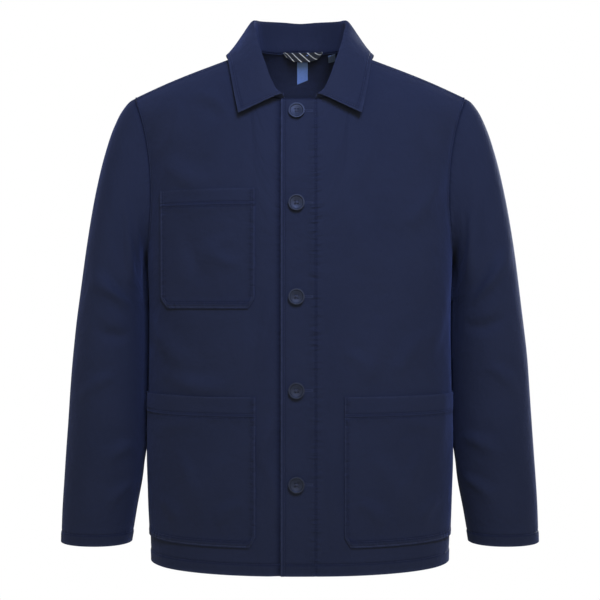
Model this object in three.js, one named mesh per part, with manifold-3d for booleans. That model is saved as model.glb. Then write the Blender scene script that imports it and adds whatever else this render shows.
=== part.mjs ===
// Chore jacket, filled out as when it is worn. Millimetres, +Z up, the front faces -Y.
// The origin is the middle of the neck, level with the shoulder line at the neck.
// Left and right are the wearer's: the wearer's left is at +X.
import * as THREE from 'three';
import Module from 'manifold-3d';
import { mergeVertices } from 'three/addons/utils/BufferGeometryUtils.js';

// Cloth
const WALL = 1.6;
const SEAM_GAP = 0.3;
const PATCH_WALL = 1.3;
const PATCH_LIFT = 0.8;
const TAPE_WALL = 1.0;

// Levels
const HEM_Z = -692;
const UNDERARM_Z = -285;
const SHOULDER_TIP = { x: 228, z: -57 };
const NECK_FRONT_Z = -73;
const TOP_LINE_Y = 6;

// Fronts: the left front laps over the right one
const LAP_EDGE = 25;
const UNDER_LAP_EDGE = 22;
const LAP_COLUMN = 8;
const LAP_STEP = 2.9;
const LAP_STEP_START = 29;
const LAP_STEP_END = 44;
const COLLAR_START = 20;

// Neck
const NECK_CORNER_X = 70;
const NECK_BACK_Y = 70;
const NECK_SQUARENESS = 0.8;

// Roundness of the body's sections, front and back
const ROUNDNESS = { front: 2.3, back: 2.3 };
const SEAM_ANGLE = 65;
const FOLD_FADE = 6;

// The body's half width and depths, at heights from the hem to the neck
const BODY_SECTIONS = [
  { z: -692, half: 205, front: 131, back: 121 },
  { z: -640, half: 207, front: 131, back: 119 },
  { z: -545, half: 210, front: 130, back: 112 },
  { z: -450, half: 209, front: 129, back: 106 },
  { z: -360, half: 208, front: 129, back: 109 },
  { z: -285, half: 210, front: 129, back: 116 },
  { z: -200, half: 211, front: 127, back: 119 },
  { z: -130, half: 211, front: 117, back: 116 },
  { z: -73, half: 211, front: 101, back: 108 },
  { z: -20, half: 211, front: 90, back: 101 },
  { z: 50, half: 211, front: 84, back: 96 },
];

// Height of the shoulder line and of the arch under it, by distance from the middle
const SHOULDER_LINE = [
  { x: 0, z: 46, arch: 90 },
  { x: 40, z: 27, arch: 86 },
  { x: 70, z: 8, arch: 80 },
  { x: 100, z: -5, arch: 75 },
  { x: 136, z: -18.5, arch: 69 },
  { x: 179, z: -35.5, arch: 62 },
  { x: 228, z: -57, arch: 54 },
];

// The armhole from the underarm (share 0) to the shoulder tip (share 1)
const ARMHOLE = [
  { share: 0.0, frontX: 210, backX: 210, front: 0, back: 0 },
  { share: 0.04, frontX: 208.5, backX: 209.5, front: 21, back: 23 },
  { share: 0.1, frontX: 206, backX: 208.5, front: 34, back: 38 },
  { share: 0.18, frontX: 203.5, backX: 207.5, front: 43, back: 49 },
  { share: 0.3, frontX: 201, backX: 207, front: 50, back: 57 },
  { share: 0.45, frontX: 200.5, backX: 208, front: 53, back: 61 },
  { share: 0.6, frontX: 203, backX: 211, front: 53, back: 61 },
  { share: 0.8, frontX: 212, backX: 217, front: 50, back: 57 },
  { share: 1.0, frontX: 228, backX: 228, front: 46, back: 51 },
];

// The sleeve below the underarm: outer and inner edge, and reach to the front and back
const ARM_SECTIONS = [
  { outX: 304.5, outZ: -340, inX: 213.5, inZ: -346, front: 62, back: 69 },
  { outX: 311.5, outZ: -398, inX: 213, inZ: -404, front: 60, back: 65 },
  { outX: 317, outZ: -460, inX: 213, inZ: -466, front: 58, back: 57 },
  { outX: 321, outZ: -520, inX: 213.5, inZ: -524, front: 56, back: 47 },
  { outX: 325, outZ: -575, inX: 217.5, inZ: -578, front: 54, back: 40 },
  { outX: 328, outZ: -625, inX: 226, inZ: -626, front: 52, back: 35 },
  { outX: 329.5, outZ: -669, inX: 233.5, inZ: -670, front: 49, back: 32 },
];
const ARM_ROUNDNESS = 2.15;
const CAP_STEPS = [0, 0.07, 0.17, 0.3, 0.45, 0.62, 0.8];
// How the sleeve head leaves the armhole: its direction, and how far it holds on at each end,
// at the underarm and at the top
const CAP_OUT = { x: 0.93, y: -0.16, underarmZ: -0.05, topZ: -0.42 };
const CAP_LEAVE = { underarm: 13, top: 38 };
const CAP_ARRIVE = { underarm: 18, top: 152, sharpness: 1.2 };

// Collar: roll line and outer edge of the fallen leaf, by share of the neck seam from front to back
const COLLAR_SECTIONS = [
  { share: 0.0, rollX: 22, rollY: -104, rollZ: -69, edgeX: 80, edgeY: -114, edgeZ: -95 },
  { share: 0.12, rollX: 31, rollY: -101, rollZ: -62, edgeX: 84, edgeY: -104, edgeZ: -77 },
  { share: 0.24, rollX: 41, rollY: -92, rollZ: -40, edgeX: 88, edgeY: -90, edgeZ: -57 },
  { share: 0.34, rollX: 49, rollY: -77, rollZ: -15, edgeX: 92, edgeY: -72, edgeZ: -36 },
  { share: 0.44, rollX: 56, rollY: -54, rollZ: 8, edgeX: 97, edgeY: -44, edgeZ: -14 },
  { share: 0.56, rollX: 61, rollY: -18, rollZ: 34, edgeX: 101, edgeY: -4, edgeZ: 0 },
  { share: 0.68, rollX: 64, rollY: 16, rollZ: 53, edgeX: 99, edgeY: 38, edgeZ: -1 },
  { share: 0.82, rollX: 52, rollY: 54, rollZ: 60, edgeX: 79, edgeY: 78, edgeZ: -8 },
  { share: 0.92, rollX: 26, rollY: 70, rollZ: 62, edgeX: 42, edgeY: 98, edgeZ: -13 },
  { share: 1.0, rollX: 0, rollY: 75, rollZ: 62, edgeX: 0, edgeY: 104, edgeZ: -15 },
];
const COLLAR_STAND_STEPS = [0, 0.5, 0.9, 1];
const COLLAR_LEAF_STEPS = [0.1, 0.28, 0.5, 0.75, 1];
const ROLL_OUT = 5;
const ROLL_UP = 3;
const LEAF_BULGE = 2;
const LEAF_HOLD = 0.4;
const STAND_BULGE = 1.5;
const LEAF_LIFT = 3.7;

// Soft folds of the body: place, half length, half width, height out of the cloth, lean
const BODY_FOLDS = [
  { face: 'front', x: 176, z: -300, long: 120, wide: 20, high: 3.4, lean: 0.1 },
  { face: 'front', x: -178, z: -290, long: 130, wide: 21, high: 3.6, lean: -0.08 },
  { face: 'front', x: 120, z: -300, long: 150, wide: 26, high: -2.6, lean: 0.05 },
  { face: 'front', x: -128, z: -400, long: 150, wide: 24, high: -2.2, lean: -0.05 },
  { face: 'front', x: 178, z: -560, long: 120, wide: 18, high: 2.6, lean: -0.05 },
  { face: 'front', x: -172, z: -585, long: 110, wide: 18, high: 2.8, lean: 0.04 },
  { face: 'back', x: 96, z: -400, long: 250, wide: 26, high: 4.6, lean: 0.07 },
  { face: 'back', x: -92, z: -420, long: 260, wide: 27, high: 4.8, lean: -0.08 },
  { face: 'back', x: 40, z: -470, long: 190, wide: 30, high: -3.0, lean: 0.02 },
  { face: 'back', x: -34, z: -500, long: 180, wide: 28, high: -3.2, lean: -0.02 },
  { face: 'back', x: 150, z: -330, long: 170, wide: 24, high: -3.2, lean: 0.1 },
  { face: 'back', x: -152, z: -345, long: 170, wide: 24, high: -3.0, lean: -0.1 },
];

// Soft folds of the sleeves: place along the sleeve, place round it in degrees from the inner edge
const SLEEVE_FOLDS = [
  { side: 1, z: -300, turn: 75, long: 50, wide: 26, high: -3.0, lean: 0.5 },
  { side: 1, z: -455, turn: 70, long: 20, wide: 60, high: -3.2, lean: 0.2 },
  { side: 1, z: -500, turn: 105, long: 22, wide: 60, high: 2.6, lean: -0.3 },
  { side: 1, z: -470, turn: 290, long: 26, wide: 50, high: 2.8, lean: 0.2 },
  { side: -1, z: -310, turn: 80, long: 50, wide: 26, high: -3.0, lean: 0.5 },
  { side: -1, z: -440, turn: 65, long: 20, wide: 60, high: -3.0, lean: 0.2 },
  { side: -1, z: -490, turn: 110, long: 24, wide: 55, high: 2.8, lean: -0.3 },
  { side: -1, z: -480, turn: 285, long: 26, wide: 50, high: 2.6, lean: 0.2 },
];

// Patch pockets: edges on the front, turned top hem and cut lower corners
const CHEST_POCKET = { inner: 58, outer: 184, top: -193, bottom: -348, corner: 14, hem: 22 };
const LOWER_POCKET = { inner: 57, top: -462, bottom: -656, corner: 15, hem: 26 };
const HEM_BAND_RAISE = 0.7;
const HEM_BAND_STEP = 1.5;
const COLUMN_NUDGE = 0.03;

// Buttons
const BUTTON = {
  radius: 10.5, height: 3.3, rim: 2.1, dish: 1.1, foot: 1.4, edge: 0.5, holeRadius: 1.05, holeRing: 2.5,
};
const BUTTON_TOP_Z = -91;
const BUTTON_SPACING = 120.8;
const BUTTON_COUNT = 5;
const BUTTON_X = -4.5;
const BUTTON_LIFT = 0.5;
const BUTTON_SIDES = 24;
const HOLE_SIDES = 8;
const BISECTIONS = 30;

// Tapes in the back neck
const LOOP = { fromX: -26, toX: 35, topZ: 16.5, sag: 5, width: 6.5, steps: 12, lift: 2.6 };
const NECK_LABEL = { fromX: -4, toX: 11.5, topZ: 16, bottomZ: -26, slant: 4, lift: 1.0 };
const LABEL_STEPS = [0, 0.25, 0.5, 0.75, 1];
const SIZE_LABEL = { fromX: 43, toX: 53, topZ: 12, bottomZ: 1, slant: 0, lift: 1.7 };

const COLOURS = {
  cloth: 0x1d2440,
  pocket: 0x1c233d,
  button: 0x2b3146,
  loop: 0x2a2a2c,
  label: 0x2c4a80,
  size: 0x15171f,
};

const RIGHT_ANGLE = Math.PI / 2;
const clamp = (value, low, high) => Math.min(Math.max(value, low), high);
const mix = (a, b, share) => a + (b - a) * share;
const ease = (share) => {
  const t = clamp(share, 0, 1);
  return t * t * (3 - 2 * t);
};
const power = (base, exponent) => Math.pow(Math.max(base, 0), exponent);

// Reads one column of a table as a smooth curve through its rows
function follow(table, key, column, at) {
  const last = table.length - 1;
  const place = clamp(at, table[0][key], table[last][key]);
  let i = 0;
  while (i < last - 1 && place > table[i + 1][key]) i += 1;
  const slope = (k) => {
    const low = table[Math.max(k - 1, 0)];
    const high = table[Math.min(k + 1, last)];
    return (high[column] - low[column]) / (high[key] - low[key]);
  };
  const step = table[i + 1][key] - table[i][key];
  const t = (place - table[i][key]) / step;
  const rise = t * t * (3 - 2 * t);
  const start = t * (1 - t) * (1 - t) * step * slope(i);
  const end = t * t * (1 - t) * step * slope(i + 1);
  return mix(table[i][column], table[i + 1][column], rise) + start - end;
}

// The body's surface. The level runs from -1 at the hem through 0 at the underarm and 1 at the foot
// of the shoulder arch to 2 on the shoulder line.
function tipHeight(level) {
  const foot = SHOULDER_TIP.z - follow(SHOULDER_LINE, 'x', 'arch', SHOULDER_TIP.x);
  if (level <= 1) return mix(UNDERARM_Z, foot, level);
  return foot + (SHOULDER_TIP.z - foot) * Math.sin((level - 1) * RIGHT_ANGLE);
}

function armholeShare(level) {
  return clamp((tipHeight(level) - UNDERARM_Z) / (SHOULDER_TIP.z - UNDERARM_Z), 0, 1);
}

function edgeX(face, level) {
  if (level <= 0) return follow(BODY_SECTIONS, 'z', 'half', mix(UNDERARM_Z, HEM_Z, -level));
  return follow(ARMHOLE, 'share', `${face}X`, armholeShare(level));
}

function fullHalfWidth(face, level) {
  const edge = edgeX(face, level);
  if (level <= 0) return edge;
  const depth = follow(BODY_SECTIONS, 'z', face, tipHeight(level));
  const edgeDepth = follow(ARMHOLE, 'share', face, armholeShare(level));
  const m = ROUNDNESS[face];
  return edge / power(1 - power(edgeDepth / depth, m), 1 / m);
}

function bodyFold(face, x, z, reach) {
  let out = 0;
  for (const fold of BODY_FOLDS) {
    if (fold.face !== face) continue;
    const along = (z - fold.z) / fold.long;
    const across = (x - fold.x - fold.lean * (z - fold.z)) / fold.wide;
    out += fold.high * Math.exp(-along * along - across * across);
  }
  return out * (1 - power(reach, FOLD_FADE));
}

function heightAt(x, level) {
  if (level <= 0) return mix(UNDERARM_Z, HEM_Z, -level);
  const top = follow(SHOULDER_LINE, 'x', 'z', Math.abs(x));
  const arch = follow(SHOULDER_LINE, 'x', 'arch', Math.abs(x));
  if (level <= 1) return mix(UNDERARM_Z, top - arch, level);
  return top - arch + arch * Math.sin((level - 1) * RIGHT_ANGLE);
}

function bodyPoint(face, x, level, side = 1) {
  const z = heightAt(x, level);
  const m = ROUNDNESS[face];
  const reach = Math.min(Math.abs(x) / fullHalfWidth(face, level), 1);
  const depth = follow(BODY_SECTIONS, 'z', face, z) * power(1 - power(reach, m), 1 / m);
  const full = depth + bodyFold(face, side * x, z, reach);
  const out = face === 'front' ? -1 : 1;
  if (level <= 1) return new THREE.Vector3(x, out * full, z);
  const lean = Math.cos((level - 1) * RIGHT_ANGLE);
  return new THREE.Vector3(x, TOP_LINE_Y + (out * full - TOP_LINE_Y) * lean, z);
}

// Over the shoulder line the back goes on down the front's side of the arch
function backPoint(x, level, side = 1) {
  if (level > 2) return bodyPoint('front', x, 4 - level, side);
  return bodyPoint('back', x, level, side);
}

function levelOfHeight(x, z) {
  if (z <= UNDERARM_Z) return (z - UNDERARM_Z) / (UNDERARM_Z - HEM_Z);
  const top = follow(SHOULDER_LINE, 'x', 'z', Math.abs(x));
  const arch = follow(SHOULDER_LINE, 'x', 'arch', Math.abs(x));
  if (z <= top - arch) return (z - UNDERARM_Z) / (top - arch - UNDERARM_Z);
  return 1 + Math.asin(clamp((z - top + arch) / arch, 0, 1)) / RIGHT_ANGLE;
}

const SEAM_LEVEL = 1 + SEAM_ANGLE / 90;
const BACK_SEAM_LEVEL = 4 - SEAM_LEVEL;

// Columns of the panels, as distances from the middle at the width of the shoulder tip
const SHOULDER_SHARES = [0, 0.14, 0.29, 0.44, 0.58, 0.7, 0.81, 0.9, 0.965, 1];
const SHOULDER_COLUMNS = SHOULDER_SHARES.map((s) => mix(NECK_CORNER_X, SHOULDER_TIP.x, s));
const FRONT_NECK_COLUMNS = [0, 0.2, 0.4, 0.6, 0.8].map((s) => mix(COLLAR_START, NECK_CORNER_X, s));
const BACK_NECK_COLUMNS = [0, 0.22, 0.42, 0.6, 0.75, 0.88].map((s) => s * NECK_CORNER_X);
const LOWER_LEVELS = [-1, -0.9, -0.78, -0.65, -0.52, -0.39, -0.26, -0.13];
const ARMHOLE_LEVELS = [0, 0.05, 0.13, 0.24, 0.38, 0.54, 0.7, 0.86, 1];
const FRONT_LEVELS = [...LOWER_LEVELS, ...ARMHOLE_LEVELS, 1.25, 1.5, SEAM_LEVEL];
const BACK_LEVELS = [...LOWER_LEVELS, ...ARMHOLE_LEVELS, 1.25, 1.5, 1.75, 2, BACK_SEAM_LEVEL];

function columnX(column, face, level) {
  if (column <= COLLAR_START) return column;
  const share = (column - COLLAR_START) / (SHOULDER_TIP.x - COLLAR_START);
  return mix(COLLAR_START, edgeX(face, level), share);
}

// Where a column of the front ends: on the neck edge or on the shoulder seam
function frontEnd(column) {
  if (column >= NECK_CORNER_X) return { x: column, level: SEAM_LEVEL };
  if (column <= COLLAR_START) return { x: column, level: levelOfHeight(column, NECK_FRONT_Z) };
  const turn = ((column - COLLAR_START) / (NECK_CORNER_X - COLLAR_START)) * RIGHT_ANGLE;
  const cornerZ = bodyPoint('front', NECK_CORNER_X, SEAM_LEVEL).z;
  const x = mix(COLLAR_START, NECK_CORNER_X, Math.sin(turn));
  const z = mix(NECK_FRONT_Z, cornerZ, 1 - Math.cos(turn));
  return { x, level: levelOfHeight(x, z) };
}

// Where a column of the back ends: the neck edge runs over the shoulder line to the shoulder seam
function backEnd(column) {
  if (column >= NECK_CORNER_X) return { x: column, level: BACK_SEAM_LEVEL };
  const cornerY = bodyPoint('front', NECK_CORNER_X, SEAM_LEVEL).y;
  const turn = (column / NECK_CORNER_X) * RIGHT_ANGLE;
  const x = NECK_CORNER_X * power(Math.sin(turn), NECK_SQUARENESS);
  const y = mix(cornerY, NECK_BACK_Y, Math.cos(turn));
  let low = 1;
  let high = BACK_SEAM_LEVEL;
  for (let step = 0; step < BISECTIONS; step += 1) {
    const middle = (low + high) / 2;
    if (backPoint(x, middle).y > y) low = middle;
    else high = middle;
  }
  return { x, level: low };
}

// One column at one level, bent towards its end on the neck edge. Folds are laid by the side.
function panelPoint(face, column, level, side) {
  const end = face === 'front' ? frontEnd(column) : backEnd(column);
  const full = face === 'front' ? SEAM_LEVEL : BACK_SEAM_LEVEL;
  const share = Math.max(level, 0) / full;
  const ownLevel = level <= 0 ? level : share * end.level;
  const overTop = face === 'back' && ownLevel > 2;
  const endOverTop = face === 'back' && end.level > 2;
  const endX = endOverTop ? columnX(column, 'front', 4 - end.level) : columnX(column, face, end.level);
  const bend = column < NECK_CORNER_X ? (end.x - endX) * ease(share) : 0;
  const straightX = overTop ? columnX(column, 'front', 4 - ownLevel) : columnX(column, face, ownLevel);
  const x = straightX + bend;
  const point = face === 'front'
    ? bodyPoint('front', x, ownLevel, side)
    : backPoint(x, ownLevel, side);
  point.x *= side;
  return point;
}

function frontGrid(side) {
  const lapColumns = [side > 0 ? -LAP_EDGE : -UNDER_LAP_EDGE, -LAP_COLUMN, LAP_COLUMN];
  const columns = [...lapColumns, ...FRONT_NECK_COLUMNS, ...SHOULDER_COLUMNS];
  return FRONT_LEVELS.map((level) => columns.map((column) => {
    const point = panelPoint('front', column, level, side);
    if (side < 0) {
      const step = (column - LAP_STEP_START) / (LAP_STEP_END - LAP_STEP_START);
      point.y += LAP_STEP * (1 - ease(step));
    }
    return point;
  }));
}

function backGrid() {
  const half = [...BACK_NECK_COLUMNS, ...SHOULDER_COLUMNS];
  const columns = [...half.slice(1).reverse().map((c) => -c), ...half];
  return BACK_LEVELS.map((level) => columns.map((column) => {
    const side = column < 0 ? -1 : 1;
    return panelPoint('back', Math.abs(column), level, side);
  }));
}

// Sleeve
function sleeveFold(side, z, turn) {
  let out = 0;
  for (const fold of SLEEVE_FOLDS) {
    if (fold.side !== side) continue;
    const along = (z - fold.z - fold.lean * (turn - fold.turn)) / fold.long;
    const across = (turn - fold.turn) / fold.wide;
    out += fold.high * Math.exp(-along * along - across * across);
  }
  return out;
}

function armPoint(section, turn, side) {
  const inner = new THREE.Vector3(section.inX, 0, section.inZ);
  const outer = new THREE.Vector3(section.outX, 0, section.outZ);
  const centre = inner.clone().add(outer).multiplyScalar(0.5);
  const half = outer.clone().sub(inner).multiplyScalar(0.5);
  const c = -Math.cos(turn);
  const s = Math.sin(turn);
  const e = 2 / ARM_ROUNDNESS;
  const fold = sleeveFold(side, centre.z, THREE.MathUtils.radToDeg(turn));
  const along = Math.sign(c) * power(Math.abs(c), e);
  const depth = s > 0 ? -(section.front + fold) : section.back + fold;
  const point = centre.addScaledVector(half, along);
  point.y += depth * power(Math.abs(s), e);
  return point;
}

function sleeveGrid(ring, topIndex, side) {
  const reach = [0];
  for (let k = 1; k <= ring.length; k += 1) {
    reach.push(reach[k - 1] + ring[k % ring.length].distanceTo(ring[k - 1]));
  }
  const top = reach[topIndex];
  const whole = reach[ring.length];
  const turns = ring.map((point, k) => (k <= topIndex
    ? Math.PI * (reach[k] / top)
    : Math.PI * (1 + (reach[k] - top) / (whole - top))));
  const rows = CAP_STEPS.map((step) => ring.map((point, k) => {
    const start = new THREE.Vector3(Math.abs(point.x), point.y, point.z);
    const turn = turns[k];
    const rise = (1 - Math.cos(turn)) / 2;
    const end = armPoint(ARM_SECTIONS[0], turn, side);
    const next = armPoint(ARM_SECTIONS[1], turn, side);
    const down = end.clone().sub(next).normalize();
    const spread = CAP_OUT.y * Math.sin(turn);
    const drop = mix(CAP_OUT.underarmZ, CAP_OUT.topZ, rise);
    const out = new THREE.Vector3(CAP_OUT.x, spread, drop).normalize();
    const leave = mix(CAP_LEAVE.underarm, CAP_LEAVE.top, rise);
    const arrive = mix(CAP_ARRIVE.underarm, CAP_ARRIVE.top, power(rise, CAP_ARRIVE.sharpness));
    const curve = new THREE.CubicBezierCurve3(
      start,
      start.clone().addScaledVector(out, leave),
      end.clone().addScaledVector(down, arrive),
      end,
    );
    return curve.getPoint(step);
  }));
  for (const section of ARM_SECTIONS) {
    rows.push(turns.map((turn) => armPoint(section, turn, side)));
  }
  return rows.map((row) => row.map((p) => new THREE.Vector3(side * p.x, p.y, p.z)));
}

// Collar: from the neck seam up the stand, over the roll and down the leaf. The points are the
// side that faces the body, so the wall grows towards the neck and, on the leaf, upwards.
function clearOfBody(point, lift) {
  const x = Math.abs(point.x);
  const top = follow(SHOULDER_LINE, 'x', 'z', x);
  const arch = follow(SHOULDER_LINE, 'x', 'arch', x);
  const face = point.y < TOP_LINE_Y ? 'front' : 'back';
  const out = face === 'front' ? -1 : 1;
  const foot = Math.abs(bodyPoint(face, x, 1).y - TOP_LINE_Y);
  const share = Math.min(Math.abs(point.y - TOP_LINE_Y) / foot, 1);
  const rise = Math.sqrt(1 - share * share);
  const slope = new THREE.Vector2(share / foot, rise / arch).normalize();
  if (slope.y > slope.x) {
    point.z = Math.max(point.z, top - arch + arch * rise + lift / slope.y);
  } else if (point.z < top) {
    const surface = out * bodyPoint(face, x, levelOfHeight(x, point.z)).y;
    point.y = out * Math.max(out * point.y, surface + lift / slope.x);
  }
  return point;
}

function collarColumn(seamPoint, share, side) {
  const read = (column) => follow(COLLAR_SECTIONS, 'share', column, share);
  const roll = new THREE.Vector3(side * read('rollX'), read('rollY'), read('rollZ'));
  const edge = new THREE.Vector3(side * read('edgeX'), read('edgeY'), read('edgeZ'));
  clearOfBody(edge, LEAF_LIFT);
  const out = new THREE.Vector3(roll.x, roll.y, 0).normalize();
  const stand = COLLAR_STAND_STEPS.map((step) => {
    const point = seamPoint.clone().lerp(roll, step);
    return point.addScaledVector(out, Math.sin(step * Math.PI) * STAND_BULGE);
  });
  const leafCurve = new THREE.CubicBezierCurve3(
    roll,
    roll.clone().addScaledVector(out, ROLL_OUT).add(new THREE.Vector3(0, 0, ROLL_UP)),
    edge.clone().lerp(roll, LEAF_HOLD).addScaledVector(out, LEAF_BULGE),
    edge,
  );
  const leaf = COLLAR_LEAF_STEPS.map((step) => clearOfBody(leafCurve.getPoint(step), LEAF_LIFT));
  return [...stand, ...leaf];
}

function collarGrid(neckSeam) {
  const reach = [0];
  for (let k = 1; k < neckSeam.length; k += 1) {
    reach.push(reach[k - 1] + neckSeam[k].distanceTo(neckSeam[k - 1]));
  }
  const half = reach[reach.length - 1] / 2;
  const columns = neckSeam.map((point, k) => {
    const side = reach[k] <= half ? 1 : -1;
    const share = 1 - Math.abs(reach[k] - half) / half;
    return collarColumn(point, share, side);
  });
  return columns[0].map((unused, row) => columns.map((column) => column[row]));
}

// Normals of a grid of points; flip turns them to the other side
function gridNormals(grid, flip, wrap) {
  const rows = grid.length;
  const columns = grid[0].length;
  return grid.map((row, i) => row.map((point, j) => {
    const left = wrap ? row[(j - 1 + columns) % columns] : row[Math.max(j - 1, 0)];
    const right = wrap ? row[(j + 1) % columns] : row[Math.min(j + 1, columns - 1)];
    const below = grid[Math.max(i - 1, 0)][j];
    const above = grid[Math.min(i + 1, rows - 1)][j];
    const normal = right.clone().sub(left).cross(above.clone().sub(below)).normalize();
    return flip ? normal.negate() : normal;
  }));
}

const placeName = (p) => [p.x, p.y, p.z].map((v) => v.toFixed(2)).join(' ');

// Where pieces share a seam they share the normal too, so that their walls meet edge to edge
function shareSeamNormals(pieces) {
  const sums = new Map();
  for (const piece of pieces) {
    piece.grid.forEach((row, i) => row.forEach((point, j) => {
      const name = placeName(point);
      if (!sums.has(name)) sums.set(name, new THREE.Vector3());
      sums.get(name).add(piece.normals[i][j]);
    }));
  }
  for (const piece of pieces) {
    piece.normals = piece.grid.map((row) => row.map((point) => (
      sums.get(placeName(point)).clone().normalize())));
  }
}

function pullBack(grid, wrap, distance) {
  const rows = grid.length;
  const columns = grid[0].length;
  const moves = grid.map((row) => row.map(() => new THREE.Vector3()));
  const pull = (i, j, inward, before, after) => {
    const along = after.clone().sub(before).normalize();
    const into = inward.clone().sub(grid[i][j]);
    into.addScaledVector(along, -into.dot(along)).normalize();
    moves[i][j].addScaledVector(into, distance);
  };
  for (let j = 0; j < columns; j += 1) {
    const before = wrap ? (j - 1 + columns) % columns : Math.max(j - 1, 0);
    const after = wrap ? (j + 1) % columns : Math.min(j + 1, columns - 1);
    pull(0, j, grid[1][j], grid[0][before], grid[0][after]);
    const last = rows - 1;
    pull(last, j, grid[last - 1][j], grid[last][before], grid[last][after]);
  }
  if (!wrap) {
    for (let i = 0; i < rows; i += 1) {
      const before = Math.max(i - 1, 0);
      const after = Math.min(i + 1, rows - 1);
      pull(i, 0, grid[i][1], grid[before][0], grid[after][0]);
      const last = columns - 1;
      pull(i, last, grid[i][last - 1], grid[before][last], grid[after][last]);
    }
  }
  return grid.map((row, i) => row.map((point, j) => point.clone().add(moves[i][j])));
}

// A closed wall between two grids of points
function wallGeometry(outer, inner, flip, wrap) {
  const rows = outer.length;
  const columns = outer[0].length;
  const positions = [];
  for (const grid of [outer, inner]) {
    for (const row of grid) for (const p of row) positions.push(p.x, p.y, p.z);
  }
  const indices = [];
  const at = (layer, i, j) => layer * rows * columns + i * columns + (j % columns);
  const quad = (a, b, c, d) => {
    if (flip) indices.push(a, c, b, a, d, c);
    else indices.push(a, b, c, a, c, d);
  };
  const lastColumn = wrap ? columns : columns - 1;
  for (let i = 0; i < rows - 1; i += 1) {
    for (let j = 0; j < lastColumn; j += 1) {
      quad(at(0, i, j), at(0, i, j + 1), at(0, i + 1, j + 1), at(0, i + 1, j));
      quad(at(1, i, j), at(1, i + 1, j), at(1, i + 1, j + 1), at(1, i, j + 1));
    }
  }
  for (let j = 0; j < lastColumn; j += 1) {
    quad(at(1, 0, j), at(1, 0, j + 1), at(0, 0, j + 1), at(0, 0, j));
    quad(at(0, rows - 1, j), at(0, rows - 1, j + 1), at(1, rows - 1, j + 1), at(1, rows - 1, j));
  }
  if (!wrap) {
    for (let i = 0; i < rows - 1; i += 1) {
      quad(at(0, i, 0), at(0, i + 1, 0), at(1, i + 1, 0), at(1, i, 0));
      const last = columns - 1;
      quad(at(1, i, last), at(1, i + 1, last), at(0, i + 1, last), at(0, i, last));
    }
  }
  const geometry = new THREE.BufferGeometry();
  geometry.setAttribute('position', new THREE.Float32BufferAttribute(positions, 3));
  geometry.setIndex(indices);
  geometry.computeVertexNormals();
  return geometry;
}

function offsetGrid(grid, normals, distance) {
  return grid.map((row, i) => row.map((p, j) => p.clone().addScaledVector(normals[i][j], distance)));
}

const fabric = (colour) => new THREE.MeshStandardMaterial({ color: colour, roughness: 0.92, metalness: 0 });

function clothMesh(piece) {
  const inner = offsetGrid(piece.grid, piece.normals, -WALL);
  const outerCut = pullBack(piece.grid, piece.wrap, SEAM_GAP / 2);
  const innerCut = pullBack(inner, piece.wrap, SEAM_GAP / 2);
  const mesh = new THREE.Mesh(
    wallGeometry(outerCut, innerCut, piece.flip, piece.wrap),
    fabric(COLOURS.cloth),
  );
  mesh.name = piece.name;
  return mesh;
}

function piece(name, grid, flip, wrap = false) {
  return { name, grid, flip, wrap, normals: gridNormals(grid, flip, wrap) };
}

// The large pieces and their shared seams
const frontLeft = frontGrid(1);
const frontRight = frontGrid(-1);
const back = backGrid();

function armholeRing(front, side) {
  const first = LOWER_LEVELS.length;
  const frontEdge = front.slice(first).map((row) => row[row.length - 1]);
  const column = side > 0 ? back[0].length - 1 : 0;
  const backEdge = back.slice(first).map((row) => row[column]);
  const overTop = backEdge.slice(1, -1).reverse();
  const topIndex = frontEdge.length;
  return { ring: [...frontEdge, ...overTop], topIndex };
}

function neckSeam() {
  const cornerColumn = 3 + FRONT_NECK_COLUMNS.length;
  const leftSide = frontLeft[frontLeft.length - 1].slice(3, cornerColumn);
  const rightSide = frontRight[frontRight.length - 1].slice(3, cornerColumn).reverse();
  const topRow = back[back.length - 1];
  const middle = (topRow.length - 1) / 2;
  const half = BACK_NECK_COLUMNS.length;
  const behind = topRow.slice(middle - half, middle + half + 1).reverse();
  return [...leftSide, ...behind, ...rightSide];
}

const leftHole = armholeRing(frontLeft, 1);
const rightHole = armholeRing(frontRight, -1);
const clothPieces = [
  piece('back', back, true),
  piece('front_left', frontLeft, false),
  piece('front_right', frontRight, true),
  piece('sleeve_left', sleeveGrid(leftHole.ring, leftHole.topIndex, 1), true, true),
  piece('sleeve_right', sleeveGrid(rightHole.ring, rightHole.topIndex, -1), false, true),
  piece('collar', collarGrid(neckSeam()), false),
];
shareSeamNormals(clothPieces);

const jacket = new THREE.Group();
jacket.name = 'chore_jacket';
for (const cloth of clothPieces) jacket.add(clothMesh(cloth));

// Patch pockets, made from the points of the front they lie on
function gridPoint(grid, row, column) {
  const i = clamp(Math.floor(row), 0, grid.length - 2);
  const j = clamp(Math.floor(column), 0, grid[0].length - 2);
  const low = grid[i][j].clone().lerp(grid[i][j + 1], column - j);
  const high = grid[i + 1][j].clone().lerp(grid[i + 1][j + 1], column - j);
  return low.lerp(high, row - i);
}

// The column, then the row, whose point has the wanted distance from the middle and height
function columnOfX(grid, row, x) {
  let low = 0;
  let high = grid[0].length - 1;
  const rises = gridPoint(grid, row, high).x > gridPoint(grid, row, low).x;
  for (let step = 0; step < BISECTIONS; step += 1) {
    const middle = (low + high) / 2;
    if (gridPoint(grid, row, middle).x < x === rises) low = middle;
    else high = middle;
  }
  return low;
}

function rowOfPlace(grid, x, z) {
  let low = 0;
  let high = grid.length - 1;
  for (let step = 0; step < BISECTIONS; step += 1) {
    const middle = (low + high) / 2;
    if (gridPoint(grid, middle, columnOfX(grid, middle, x)).z < z) low = middle;
    else high = middle;
  }
  return low;
}

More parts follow.
